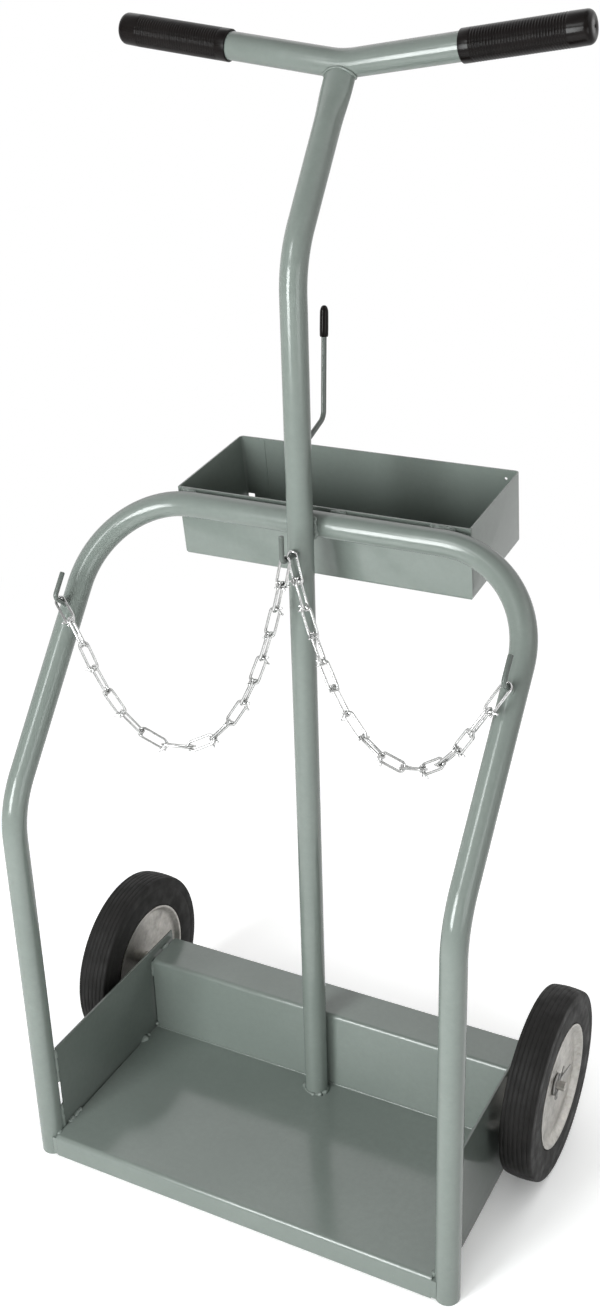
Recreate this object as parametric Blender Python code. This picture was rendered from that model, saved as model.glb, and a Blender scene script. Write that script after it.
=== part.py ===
"""Gas cylinder cart: a bent tube arch and a mast on a folded platform, with two wheels and two chains.

Metres, +Z up. +X is the cart's right as seen from the front, +Y its back, where the wheels are. The
origin is on the floor, under the middle of the cart's box.
"""

import math

import bmesh
import bpy
from mathutils import Matrix, Vector

# Clearances
WELD_GAP = 0.0003
RUNNING_GAP = 0.0003
FLOOR_GAP = 0.0015

# Tube of the arch, the mast and the handlebar
TUBE_OD = 0.03175
TUBE_WALL = 0.0021
BEND_RADIUS = 0.127
TUBE_SIDES = 16

# Arch
KINK_HEIGHT = 0.548
ARCH_HEIGHT = 0.880

# Platform, side plates and rear step
BAY_DEPTH = 0.247
PLATFORM_TOP = 0.035
PLATFORM_TAIL = 0.013
LIP_REACH = 0.0141
SHEET = 0.003
SHEET_BEND = 0.006
STEP_DEPTH = 0.0626
STEP_END_GAP = 0.0033
STEP_OVER_AXLE = 0.0177
SIDE_PLATE_RISE = 0.013
SIDE_PLATE_INSET = 0.0012
SIDE_SLOT_LENGTH = 0.040
SIDE_SLOT_DEPTH = 0.003
SIDE_SLOT_HEIGHT = 0.092

# Mast and handlebar
MAST_BEND_HEIGHT = 1.198
HANDLE_HEIGHT = 1.389
HANDLE_SETBACK = 0.135
HANDLE_HALF_LENGTH = 0.285
HANDLE_RISE = math.radians(7.6)
FLAT_LENGTH = 0.030
FLAT_TAPER = 0.045
FLAT_WIDTH = 0.0378

# Grips
GRIP_LENGTH = 0.146
GRIP_WALL = 0.0020
GRIP_END = 0.0050
GRIP_VENT = 0.003
GRIP_EDGE = 0.004

# Tool tray
TRAY_LENGTH = 0.396
TRAY_DEPTH = 0.165
TRAY_HEIGHT = 0.096
TRAY_SHEET = 0.0019
TRAY_TILT = math.radians(7)
TRAY_FOLD = 0.006
TRAY_RELIEF = 0.009
TRAY_HOLE = 0.004
TRAY_HOLE_INSET = 0.012

# Rods: chain hooks and hose hook
ROD = 0.00635
ROD_BEND = 0.0065
ROD_SIDES = 8
HOOK_RISE = 0.034
LEG_HOOK_REACH = 0.028
LEG_HOOK_ALONG = 0.265
MAST_HOOK_REACH = 0.032
MAST_HOOK_HEIGHT = 0.857
HOSE_FOOT_RISE = 0.103
HOSE_REACH = 0.0505
HOSE_CLIMB = math.radians(20)
HOSE_HEIGHT = 0.148
HOSE_LEAN = math.radians(3.4)
HOSE_BEND = 0.013
TIP_LENGTH = 0.036
TIP_WALL = 0.0017

# Wheels and axle
WHEEL_DIAMETER = 0.258
WHEEL_TRACK = 0.6468
WHEEL_STEPS = 28
WHEEL_CLEARANCE = 0.0168
TYRE_WIDTH = 0.0445
TREAD_DEPTH = 0.0022
TREAD_GROOVE = 0.0026
TREAD_CROWN = 0.0018
RIM_DIAMETER = 0.168
RIM_HALF_WIDTH = 0.0218
RIM_FLANGE = 0.003
RIM_SEAT = 0.0095
DISC_SHEET = 0.002
DISC_DISH = 0.0103
DISC_CONE = 0.0022
HUB_OD = 0.020
HUB_NOSE = 0.0006
AXLE_DIAMETER = 0.0127
AXLE_SETBACK = 0.031
AXLE_TIP = 0.0094
AXLE_CHAMFER = 0.0012
WASHER_OD = 0.031
WASHER_THICKNESS = 0.0022
PIN_WIRE = 0.003
PIN_TAIL = 0.024
PIN_NECK = 0.013
PIN_EYE = 0.004
PIN_TURN = math.radians(250)
PIN_ANGLE = math.radians(50)

# Chains
LINK_PITCH = 0.0342
LINK_WIRE = 0.0034
LINK_WIDTH = 0.0078
LINK_GAP = 0.0006
LINK_SIDES = 6
LINK_END_STEPS = 6
LEFT_LINKS = 17
RIGHT_LINKS = 15
LEG_SEAT_INSET = 0.0125
LEFT_SEAT_INSET = 0.0080
RIGHT_SEAT_INSET = 0.0255
LEFT_LINK_DIP = math.radians(42)
RIGHT_LINK_DIP = math.radians(66)

# Sizes and places that follow from those above
TUBE_R = TUBE_OD / 2
PLATE_OUT = (WHEEL_TRACK - TYRE_WIDTH) / 2 - WHEEL_CLEARANCE
PLATE_IN = PLATE_OUT - SHEET
LEG_X = PLATE_IN - SIDE_PLATE_INSET + TUBE_R
MAST_Y = BAY_DEPTH - WELD_GAP - TUBE_R
BAR_Y = MAST_Y + TUBE_OD + WELD_GAP
LEAN = math.atan2(BAR_Y, ARCH_HEIGHT - KINK_HEIGHT)
PLATFORM_HALF = LEG_X - TUBE_R - WELD_GAP
STEP_BACK = BAY_DEPTH + STEP_DEPTH
AXLE_Y = BAY_DEPTH + AXLE_SETBACK
AXLE_Z = WHEEL_DIAMETER / 2
AXLE_R = AXLE_DIAMETER / 2
STEP_TOP = AXLE_Z + AXLE_R + STEP_OVER_AXLE + SHEET
SIDE_PLATE_TOP = STEP_TOP + SIDE_PLATE_RISE
TRAY_Y = BAR_Y + (TUBE_R + WELD_GAP - TUBE_R * math.sin(TRAY_TILT)) / math.cos(TRAY_TILT)
TRAY_Z = ARCH_HEIGHT + TUBE_R
CART_BACK = TRAY_Y + TRAY_DEPTH * math.cos(TRAY_TILT) + TRAY_HEIGHT * math.sin(TRAY_TILT)
CART_MIDDLE = (CART_BACK - TUBE_R) / 2

RIGHT = Vector((1, 0, 0))
BACK = Vector((0, 1, 0))
UP = Vector((0, 0, 1))
LEG_UP = Vector((0, math.sin(LEAN), math.cos(LEAN)))
LEG_OUT = Vector((0, -math.cos(LEAN), math.sin(LEAN)))


def clear_scene():
    for obj in list(bpy.data.objects):
        bpy.data.objects.remove(obj, do_unlink=True)


def material(name, colour, roughness, metallic):
    made = bpy.data.materials.new(name)
    made.use_nodes = True
    shader = made.node_tree.nodes["Principled BSDF"]
    shader.inputs["Base Color"].default_value = (*colour, 1)
    shader.inputs["Roughness"].default_value = roughness
    shader.inputs["Metallic"].default_value = metallic
    return made


def empty(name, location=(0, 0, 0), parent=None, turn=0.0):
    made = bpy.data.objects.new(name, None)
    made.location = location
    made.rotation_euler = (0, 0, turn)
    made.parent = parent
    bpy.context.scene.collection.objects.link(made)
    return made


def finish_mesh(name, bm):
    bmesh.ops.recalc_face_normals(bm, faces=bm.faces)
    mesh = bpy.data.meshes.new(name)
    bm.to_mesh(mesh)
    bm.free()
    mesh.shade_smooth()
    mesh.set_sharp_from_angle(angle=math.radians(35))
    return mesh


def place(name, mesh, surface, parent, matrix=None):
    if not mesh.materials:
        mesh.materials.append(surface)
    made = bpy.data.objects.new(name, mesh)
    made.parent = parent
    if matrix is not None:
        made.matrix_basis = matrix
    bpy.context.scene.collection.objects.link(made)
    return made


def cut(target, mesh, parent, matrix=None):
    """Takes a closed mesh out of an object with a Boolean."""
    tool = bpy.data.objects.new(target.name + "_cutter", mesh)
    tool.parent = parent
    if matrix is not None:
        tool.matrix_basis = matrix
    tool.hide_render = True
    tool.display_type = "WIRE"
    bpy.context.scene.collection.objects.link(tool)
    modifier = target.modifiers.new("cut", "BOOLEAN")
    modifier.operation = "DIFFERENCE"
    modifier.solver = "EXACT"
    modifier.object = tool


def rounded(corners, radius, steps):
    """The points of a path whose inner corners are arcs of one radius."""
    corners = [Vector(c) for c in corners]
    points = [corners[0]]
    for before, corner, after in zip(corners, corners[1:], corners[2:]):
        back = (before - corner).normalized()
        ahead = (after - corner).normalized()
        turn = math.pi - back.angle(ahead)
        reach = radius * math.tan(turn / 2)
        centre = corner + (back + ahead).normalized() * radius / math.cos(turn / 2)
        start = corner + back * reach - centre
        axis = start.cross(corner + ahead * reach - centre).normalized()
        for i in range(steps + 1):
            points.append(centre + Matrix.Rotation(turn * i / steps, 3, axis) @ start)
    points.append(corners[-1])
    return points


def rings(bm, points, radius, sides, side_axis, spreads=None):
    """Rings of vertices square to a path. Spreads widen each ring along side_axis and flatten it across."""
    made = []
    normal = Vector(side_axis)
    for i, point in enumerate(points):
        tangent = points[min(i + 1, len(points) - 1)] - points[max(i - 1, 0)]
        tangent.normalize()
        normal = (normal - tangent * normal.dot(tangent)).normalized()
        across = tangent.cross(normal)
        spread = spreads[i] if spreads else 1.0
        flat = math.sqrt(max(2 - spread * spread, 0.3)) if spread > 1 else spread
        ring = []
        for k in range(sides):
            angle = 2 * math.pi * k / sides
            offset = normal * (spread * math.cos(angle)) + across * (flat * math.sin(angle))
            ring.append(bm.verts.new(point + offset * radius))
        made.append(ring)
    return made


def skin(bm, first, second):
    count = len(first)
    for k in range(count):
        bm.faces.new((first[k], first[(k + 1) % count], second[(k + 1) % count], second[k]))


def tube_mesh(name, points, radius, bore=0.0, sides=TUBE_SIDES, side_axis=RIGHT, spreads=None):
    """A rod, or a tube where bore is its inner radius, along a path."""
    points = [Vector(p) for p in points]
    bm = bmesh.new()
    outer = rings(bm, points, radius, sides, side_axis, spreads)
    for first, second in zip(outer, outer[1:]):
        skin(bm, first, second)
    if bore:
        inner = rings(bm, points, bore, sides, side_axis, spreads)
        for first, second in zip(inner, inner[1:]):
            skin(bm, first, second)
        skin(bm, outer[0], inner[0])
        skin(bm, outer[-1], inner[-1])
    else:
        bm.faces.new(outer[0])
        bm.faces.new(outer[-1])
    return finish_mesh(name, bm)


def turned_mesh(name, profile, steps, closed=True):
    """An outline of (x, radius) points, spun round the X axis. One that isn't closed ends on the axis."""
    bm = bmesh.new()
    verts = [bm.verts.new((x, 0, r)) for x, r in profile]
    pairs = list(zip(verts, verts[1:]))
    if closed:
        pairs.append((verts[-1], verts[0]))
    edges = [bm.edges.new(pair) for pair in pairs]
    whole = 2 * math.pi
    bmesh.ops.spin(bm, geom=verts + edges, axis=(1, 0, 0), angle=whole, steps=steps, use_merge=True)
    bmesh.ops.remove_doubles(bm, verts=bm.verts, dist=1e-6)
    return finish_mesh(name, bm)


def extruded_mesh(name, outline, x0, x1):
    """A flat outline of (y, z) points, drawn out along X."""
    bm = bmesh.new()
    face = bm.faces.new([bm.verts.new((x0, y, z)) for y, z in outline])
    grown = bmesh.ops.extrude_face_region(bm, geom=[face])["geom"]
    moved = [v for v in grown if isinstance(v, bmesh.types.BMVert)]
    bmesh.ops.translate(bm, verts=moved, vec=(x1 - x0, 0, 0))
    return finish_mesh(name, bm)


def box_mesh(name, low, high):
    bm = bmesh.new()
    bmesh.ops.create_cube(bm, size=1)
    low, high = Vector(low), Vector(high)
    size = high - low
    bmesh.ops.transform(bm, verts=bm.verts, matrix=Matrix.LocRotScale((low + high) / 2, None, size))
    return finish_mesh(name, bm)


def folded_outline(foot, corner, end):
    """The (y, z) outline of a sheet that rises at the front and is folded back at the top."""
    outer = rounded([(0, *foot), (0, *corner), (0, *end)], SHEET_BEND, 4)
    inner = [(foot[0] + SHEET, foot[1]), (corner[0] + SHEET, corner[1] - SHEET), (end[0], end[1] - SHEET)]
    inner = rounded([(0, *p) for p in inner], SHEET_BEND - SHEET, 4)
    return [(p.y, p.z) for p in outer + inner[::-1]]


def build_frame(root, paint):
    """Arch, mast and handlebar."""
    feet = [Vector((side * LEG_X, 0, 0)) for side in (-1, 1)]
    kinks = [foot + UP * KINK_HEIGHT for foot in feet]
    shoulders = [Vector((foot.x, BAR_Y, ARCH_HEIGHT)) for foot in feet]
    corners = [feet[0], kinks[0], shoulders[0], shoulders[1], kinks[1], feet[1]]
    arch = tube_mesh("arch_frame", rounded(corners, BEND_RADIUS, 7), TUBE_R, TUBE_R - TUBE_WALL)
    place("arch_frame", arch, paint, root)

    top = Vector((0, MAST_Y + HANDLE_SETBACK, HANDLE_HEIGHT))
    foot = Vector((0, MAST_Y, PLATFORM_TOP + WELD_GAP))
    bend = Vector((0, MAST_Y, MAST_BEND_HEIGHT))
    path = rounded([foot, bend, top], BEND_RADIUS, 6)
    slope = (top - bend).normalized()
    spreads = [1.0] * (len(path) - 1)
    path[-1:] = [top - slope * (FLAT_LENGTH + FLAT_TAPER), top - slope * FLAT_LENGTH, top]
    spreads += [1.0, FLAT_WIDTH / TUBE_OD, FLAT_WIDTH / TUBE_OD]
    mesh = tube_mesh("mast", path, TUBE_R, TUBE_R - TUBE_WALL, spreads=spreads)
    mast = place("mast", mesh, paint, root)

    out = Vector((math.cos(HANDLE_RISE), 0, math.sin(HANDLE_RISE))) * HANDLE_HALF_LENGTH
    ends = [top + Vector((-out.x, 0, out.z)), top, top + out]
    path = rounded(ends, BEND_RADIUS, 4)
    bar = tube_mesh("handlebar", path, TUBE_R, TUBE_R - TUBE_WALL, side_axis=BACK)
    place("handlebar", bar, paint, root)
    cope = tube_mesh("handlebar_cope", path, TUBE_R + WELD_GAP, side_axis=BACK)
    cut(mast, cope, root)
    return top


def build_grips(root, top, vinyl):
    bore = TUBE_R + WELD_GAP
    outer = bore + GRIP_WALL
    inside = GRIP_LENGTH - GRIP_END
    lip = GRIP_WALL / 2
    profile = [
        (0, bore),
        (0, outer - lip),
        (lip, outer),
        (GRIP_LENGTH - GRIP_EDGE, outer),
        (GRIP_LENGTH - GRIP_EDGE * 0.3, outer - GRIP_EDGE * 0.3),
        (GRIP_LENGTH, outer - GRIP_EDGE),
        (GRIP_LENGTH, GRIP_VENT / 2),
        (inside, GRIP_VENT / 2),
        (inside, bore),
    ]
    mesh = turned_mesh("grip", profile, TUBE_SIDES)
    start = HANDLE_HALF_LENGTH + WELD_GAP - inside
    for name, side in (("left_grip", -1), ("right_grip", 1)):
        along = Vector((side * math.cos(HANDLE_RISE), 0, math.sin(HANDLE_RISE)))
        turn = RIGHT.rotation_difference(along).to_matrix().to_4x4()
        place(name, mesh, vinyl, root, Matrix.Translation(top + along * start) @ turn)


def build_base(root, paint):
    """Platform, side plates and rear step."""
    front = (-LIP_REACH, FLOOR_GAP)
    outline = folded_outline(front, (-LIP_REACH, PLATFORM_TOP), (BAY_DEPTH + PLATFORM_TAIL, PLATFORM_TOP))
    place("platform", extruded_mesh("platform", outline, -PLATFORM_HALF, PLATFORM_HALF), paint, root)

    foot = (BAY_DEPTH, PLATFORM_TOP + WELD_GAP)
    outline = folded_outline(foot, (BAY_DEPTH, STEP_TOP), (STEP_BACK, STEP_TOP))
    half = PLATE_IN - STEP_END_GAP
    place("rear_step", extruded_mesh("rear_step", outline, -half, half), paint, root)

    beside = LEG_X - PLATE_OUT
    front = math.sqrt(TUBE_R**2 - beside**2) + WELD_GAP
    slot_low = SIDE_SLOT_HEIGHT - SIDE_SLOT_LENGTH / 2
    slot_high = SIDE_SLOT_HEIGHT + SIDE_SLOT_LENGTH / 2
    outline = [
        (front, FLOOR_GAP),
        (STEP_BACK, FLOOR_GAP),
        (STEP_BACK, SIDE_PLATE_TOP),
        (front, SIDE_PLATE_TOP),
        (front, slot_high),
        (front + SIDE_SLOT_DEPTH, slot_high),
        (front + SIDE_SLOT_DEPTH, slot_low),
        (front, slot_low),
    ]
    centre = Vector((0, AXLE_Y, AXLE_Z))
    for name, side in (("left_side_plate", -1), ("right_side_plate", 1)):
        plate = place(name, extruded_mesh(name, outline, side * PLATE_IN, side * PLATE_OUT), paint, root)
        ends = [centre + RIGHT * side * (PLATE_IN - SHEET), centre + RIGHT * side * (PLATE_OUT + SHEET)]
        cut(plate, tube_mesh(name + "_bore", ends, AXLE_R + RUNNING_GAP, sides=20, side_axis=BACK), root)


def build_tray(root, paint):
    """The tray is drawn with the front of its rim on its own origin, then tilted and set behind the bar."""
    half = TRAY_LENGTH / 2
    bm = bmesh.new()
    bmesh.ops.create_cube(bm, size=1)
    middle = Vector((0, TRAY_DEPTH / 2, -TRAY_HEIGHT / 2))
    size = Vector((TRAY_LENGTH, TRAY_DEPTH, TRAY_HEIGHT))
    bmesh.ops.transform(bm, verts=bm.verts, matrix=Matrix.LocRotScale(middle, None, size))
    lid = [f for f in bm.faces if f.normal.z > 0.9]
    bmesh.ops.delete(bm, geom=lid, context="FACES_ONLY")
    folds = [e for e in bm.edges if all(v.co.y > TRAY_DEPTH / 2 for v in e.verts)]
    folds = [e for e in folds if abs(e.verts[0].co.z - e.verts[1].co.z) > TRAY_HEIGHT / 2]
    bmesh.ops.bevel(bm, geom=folds, offset=TRAY_FOLD, segments=3, profile=0.5, affect="EDGES")
    mesh = finish_mesh("tool_tray", bm)
    where = Matrix.Translation((0, TRAY_Y, TRAY_Z)) @ Matrix.Rotation(TRAY_TILT, 4, "X")
    tray = place("tool_tray", mesh, paint, root, where)
    walls = tray.modifiers.new("walls", "SOLIDIFY")
    walls.thickness = TRAY_SHEET
    walls.offset = -1
    walls.use_even_offset = True

    through = 2 * TRAY_SHEET
    for side in (-1, 1):
        x = side * (half - TRAY_FOLD - TRAY_RELIEF / 2)
        y = TRAY_DEPTH - TRAY_FOLD - TRAY_RELIEF / 2
        reach = Vector((TRAY_RELIEF / 2, TRAY_RELIEF / 2, through))
        corner = Vector((x, y, -TRAY_HEIGHT))
        cut(tray, box_mesh("relief", corner - reach, corner + reach), root, where)
        hole = Vector((side * (half - TRAY_FOLD - TRAY_HOLE_INSET), TRAY_DEPTH, -TRAY_HOLE_INSET))
        ends = [hole - BACK * through, hole + BACK * through]
        cut(tray, tube_mesh("tray_hole", ends, TRAY_HOLE / 2, sides=8), root, where)


def hook_path(foot, out, up, reach):
    """A hook that leaves a tube square to it and turns up along it. foot is on the tube's axis."""
    elbow = foot + out * (TUBE_R + reach)
    return rounded([foot + out * (TUBE_R + WELD_GAP), elbow, elbow + up * HOOK_RISE], ROD_BEND, 4)


def leg_hook_foot(side):
    return Vector((side * LEG_X, 0, KINK_HEIGHT)) + LEG_UP * LEG_HOOK_ALONG


def build_hooks(root, paint, vinyl):
    for name, side in (("left_chain_hook", -1), ("right_chain_hook", 1)):
        path = hook_path(leg_hook_foot(side), LEG_OUT, LEG_UP, LEG_HOOK_REACH)
        place(name, tube_mesh(name, path, ROD / 2, sides=ROD_SIDES), paint, root)
    foot = Vector((0, MAST_Y, MAST_HOOK_HEIGHT))
    path = hook_path(foot, -BACK, UP, MAST_HOOK_REACH)
    mesh = tube_mesh("mast_chain_hook", path, ROD / 2, sides=ROD_SIDES)
    place("mast_chain_hook", mesh, paint, root)

    start_y = MAST_Y + TUBE_R + WELD_GAP + ROD / 2 * math.sin(HOSE_CLIMB)
    foot = Vector((0, start_y, ARCH_HEIGHT + HOSE_FOOT_RISE))
    turn = foot + Vector((0, 1, math.tan(HOSE_CLIMB))) * HOSE_REACH
    upright = Vector((0, math.sin(HOSE_LEAN), math.cos(HOSE_LEAN)))
    top = turn + upright * ((foot.z + HOSE_HEIGHT - turn.z) / upright.z)
    path = rounded([foot, turn, top], HOSE_BEND, 5)
    place("hose_hook", tube_mesh("hose_hook", path, ROD / 2, sides=ROD_SIDES), paint, root)

    bore = ROD / 2 + WELD_GAP
    outer = bore + TIP_WALL
    end = WELD_GAP + TIP_WALL
    profile = [
        (end, 0),
        (end, outer * 0.4),
        (end * 0.7, outer * 0.8),
        (0, outer),
        (end - TIP_LENGTH, outer),
        (end - TIP_LENGTH, bore),
        (WELD_GAP, bore),
        (WELD_GAP, 0),
    ]
    turn_up = RIGHT.rotation_difference(upright).to_matrix().to_4x4()
    mesh = turned_mesh("hose_hook_tip", profile, 12, closed=False)
    place("hose_hook_tip", mesh, vinyl, root, Matrix.Translation(top) @ turn_up)


def disc_face():
    """The outer side of a pressed disc from its bore to its edge: a shallow cone, a steep wall, a flange."""
    bore = HUB_OD / 2 + RUNNING_GAP
    rim = RIM_DIAMETER / 2
    seat = rim - RIM_SEAT
    hub_x = RIM_HALF_WIDTH - DISC_DISH
    cone = [(hub_x + DISC_CONE * t * t, bore + (seat - bore) * t) for t in (0, 0.35, 0.7, 1)]
    return cone + [(RIM_HALF_WIDTH, rim - RIM_FLANGE), (RIM_HALF_WIDTH, rim)]


def disc_profile():
    face = disc_face()
    return face + [(x - DISC_SHEET, r) for x, r in reversed(face)]


def tyre_profile():
    """The tyre's section: a base held between the discs, full sides and a grooved crown."""
    half = TYRE_WIDTH / 2
    crown = WHEEL_DIAMETER / 2
    edge = RIM_DIAMETER / 2 + RUNNING_GAP
    tall = crown - edge
    shoulder = half * 0.89
    inset = DISC_SHEET + RUNNING_GAP
    base = [(x - inset, r + RUNNING_GAP) for x, r in disc_face()[-3:]]
    side = [
        (half * 0.97, edge + tall * 0.05),
        (half, edge + tall * 0.40),
        (half * 0.985, edge + tall * 0.85),
        (shoulder, crown - TREAD_CROWN),
    ]
    tread = []
    for part in (0.64, 0.22, -0.22, -0.64):
        x = shoulder * part
        for dx, dip in ((TREAD_GROOVE / 2, 0), (0, TREAD_DEPTH), (-TREAD_GROOVE / 2, 0)):
            drop = TREAD_CROWN * ((x + dx) / shoulder) ** 2
            tread.append((x + dx, crown - drop - dip))
    return base + side + tread + [(-x, r) for x, r in reversed(base + side)]


def ring_profile(x0, x1, bore, outer):
    return [(x0, bore), (x0, outer), (x1, outer), (x1, bore)]


def build_wheels(root, rubber, zinc):
    """Each wheel is drawn with +X pointing outwards, and hangs on an empty at the middle of its hub."""
    hub_out = RIM_HALF_WIDTH - DISC_DISH + HUB_NOSE
    hub_in = PLATE_OUT + RUNNING_GAP - WHEEL_TRACK / 2
    washer_in = hub_out + RUNNING_GAP
    washer_out = washer_in + WASHER_THICKNESS
    pin_x = washer_out + RUNNING_GAP + PIN_WIRE / 2
    axle_half = WHEEL_TRACK / 2 + pin_x + AXLE_TIP
    bore = AXLE_R + RUNNING_GAP

    tyre = turned_mesh("tyre", tyre_profile(), WHEEL_STEPS)
    disc = turned_mesh("disc", disc_profile(), WHEEL_STEPS)
    hub = turned_mesh("hub", ring_profile(hub_in, hub_out, bore, HUB_OD / 2), 20)
    washer = turned_mesh("washer", ring_profile(washer_in, washer_out, bore, WASHER_OD / 2), 20)

    along = Vector((0, math.cos(PIN_ANGLE), math.sin(PIN_ANGLE)))
    across = Vector((0, -math.sin(PIN_ANGLE), math.cos(PIN_ANGLE)))
    at = RIGHT * pin_x
    path = [at + along * PIN_TAIL, at - along * (AXLE_R + PIN_WIRE)]
    eye = at - along * PIN_NECK + across * PIN_EYE
    for i in range(9):
        angle = PIN_TURN * i / 8
        path.append(eye - across * (PIN_EYE * math.cos(angle)) - along * (PIN_EYE * math.sin(angle)))
    pin = tube_mesh("cotter_pin", path, PIN_WIRE / 2, sides=6)

    ends = [-axle_half, -axle_half + AXLE_CHAMFER, axle_half - AXLE_CHAMFER, axle_half]
    tip = 1 - AXLE_CHAMFER / AXLE_R
    path = [Vector((x, AXLE_Y, AXLE_Z)) for x in ends]
    mesh = tube_mesh("axle", path, AXLE_R, sides=20, side_axis=BACK, spreads=[tip, 1.0, 1.0, tip])
    axle = place("axle", mesh, zinc, root)
    mirror = Matrix.Rotation(math.pi, 4, "Y")
    for word, side in (("left", -1), ("right", 1)):
        turn = 0.0 if side > 0 else math.pi
        centre = (side * WHEEL_TRACK / 2, AXLE_Y, AXLE_Z)
        carrier = empty(word + "_wheel", centre, root, turn)
        place(word + "_tyre", tyre, rubber, carrier)
        place(word + "_outer_disc", disc, zinc, carrier)
        place(word + "_inner_disc", disc, zinc, carrier, mirror)
        place(word + "_hub", hub, zinc, carrier)
        axle_end = empty(word + "_axle_end", centre, root, turn)
        place(word + "_axle_washer", washer, zinc, axle_end)
        place(word + "_cotter_pin", pin, zinc, axle_end)
        reach = along * (2 * AXLE_R)
        hole = tube_mesh("pin_hole", [at - reach, at + reach], PIN_WIRE / 2 + RUNNING_GAP, sides=8)
        cut(axle, hole, axle_end)


def hanging_points(start, end, count, length):
    """Points at equal steps along a chain of a given length that hangs between two places."""
    across = Vector((end.x - start.x, end.y - start.y, 0))
    span = across.length
    rise = end.z - start.z
    want = math.sqrt(length**2 - rise**2)
    low, high = span / 40, span * 40
    for _ in range(80):
        size = (low + high) / 2
        if 2 * size * math.sinh(span / (2 * size)) > want:
            low = size
        else:
            high = size
    middle = span / 2 - size * math.atanh(rise / length)
    first = size * math.sinh(-middle / size)
    points = []
    for i in range(count + 1):
        t = middle + size * math.asinh((first + length * i / count) / size)
        drop = size * (math.cosh((t - middle) / size) - math.cosh(-middle / size))
        points.append(start + across.normalized() * t + UP * drop)
    return points


def link_mesh():
    """A link lies in its own XY plane, with its length along X."""
    end_radius = (LINK_WIDTH + LINK_WIRE) / 2
    straight = (LINK_PITCH + LINK_WIRE + LINK_GAP) / 2 - end_radius
    path = []
    for side in (1, -1):
        for i in range(LINK_END_STEPS + 1):
            angle = math.pi * (i / LINK_END_STEPS - 0.5)
            x = straight + end_radius * math.cos(angle)
            y = end_radius * math.sin(angle)
            path.append(Vector((x, y, 0)) * side)
    bm = bmesh.new()
    made = []
    for i, point in enumerate(path):
        tangent = path[(i + 1) % len(path)] - path[i - 1]
        outward = tangent.cross(UP).normalized()
        ring = []
        for k in range(LINK_SIDES):
            angle = 2 * math.pi * k / LINK_SIDES
            offset = outward * math.cos(angle) + UP * math.sin(angle)
            ring.append(bm.verts.new(point + offset * (LINK_WIRE / 2)))
        made.append(ring)
    for first, second in zip(made, made[1:] + made[:1]):
        skin(bm, first, second)
    return finish_mesh("chain_link", bm)


def seat_joint(seat, pull, arm):
    """Where a link that lies over a hook's arm and is pulled away along pull has its joint."""
    lift = (ROD + LINK_WIRE) / 2 + WELD_GAP
    lift = lift / math.sqrt(1 - pull.dot(arm) ** 2)
    return seat - pull * (lift - (LINK_WIRE + LINK_GAP) / 2)


def chain_joints(side, count, seat_inset, dip):
    """The places where links meet: the first link lies along the leg, the next turns down, the rest hang."""
    leg_seat = leg_hook_foot(side) + LEG_OUT * (TUBE_R + LEG_HOOK_REACH - LEG_SEAT_INSET)
    mast_seat = Vector((0, MAST_Y - TUBE_R - MAST_HOOK_REACH + seat_inset, MAST_HOOK_HEIGHT))
    first = -side * RIGHT * math.cos(dip) - LEG_UP * math.sin(dip)
    start = seat_joint(leg_seat, first, LEG_OUT)
    lead = [start, start + first * LINK_PITCH]
    end = mast_seat
    second = first
    hung = count - 2
    for _ in range(6):
        turn = lead[1] + second * LINK_PITCH
        joints = hanging_points(turn, end, hung, hung * LINK_PITCH)
        second = (first + (joints[1] - joints[0]).normalized()).normalized()
        end = seat_joint(mast_seat, (joints[-2] - joints[-1]).normalized(), BACK)
    return lead + joints


def build_chains(root, zinc):
    """Two chains, each hung on an empty at the top of its first link, on the line it swings about."""
    mesh = link_mesh()
    overlap = (LINK_WIRE + LINK_GAP) / 2
    for word, side, count, seat_inset, dip in (
        ("left", -1, LEFT_LINKS, LEFT_SEAT_INSET, LEFT_LINK_DIP),
        ("right", 1, RIGHT_LINKS, RIGHT_SEAT_INSET, RIGHT_LINK_DIP),
    ):
        joints = chain_joints(side, count, seat_inset, dip)
        pivot = joints[0] - (joints[1] - joints[0]).normalized() * overlap
        carrier = empty(word + "_chain", pivot, root)
        for i in range(count):
            along = (joints[i + 1] - joints[i]).normalized()
            facing = LEG_OUT.lerp(-BACK, i / (count - 1))
            facing = (facing - along * facing.dot(along)).normalized()
            width = facing.cross(along)
            if i % 2:
                facing, width = width, -facing
            turn = Matrix((along, width, facing)).transposed().to_4x4()
            middle = (joints[i] + joints[i + 1]) / 2 - pivot
            place(f"{word}_chain_link_{i + 1:02d}", mesh, zinc, carrier, Matrix.Translation(middle) @ turn)


def main():
    clear_scene()
    paint = material("grey_green_paint", (0.33, 0.38, 0.34), 0.3, 0.0)
    vinyl = material("black_vinyl", (0.02, 0.02, 0.02), 0.45, 0.0)
    rubber = material("black_rubber", (0.015, 0.015, 0.014), 0.75, 0.0)
    zinc = material("zinc_plate", (0.62, 0.62, 0.6), 0.35, 1.0)
    root = empty("cart", (0, -CART_MIDDLE, 0))
    top = build_frame(root, paint)
    build_grips(root, top, vinyl)
    build_base(root, paint)
    build_tray(root, paint)
    build_hooks(root, paint, vinyl)
    build_wheels(root, rubber, zinc)
    build_chains(root, zinc)


main()
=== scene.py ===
"""The looks of a gas cylinder cart: fine forms and finishes, a pale floor, light and a camera.

Metres, +Z up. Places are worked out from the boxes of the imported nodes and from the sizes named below.
"""

import math

import bmesh
import bpy
import numpy as np
from mathutils import Matrix, Vector, noise


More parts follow.
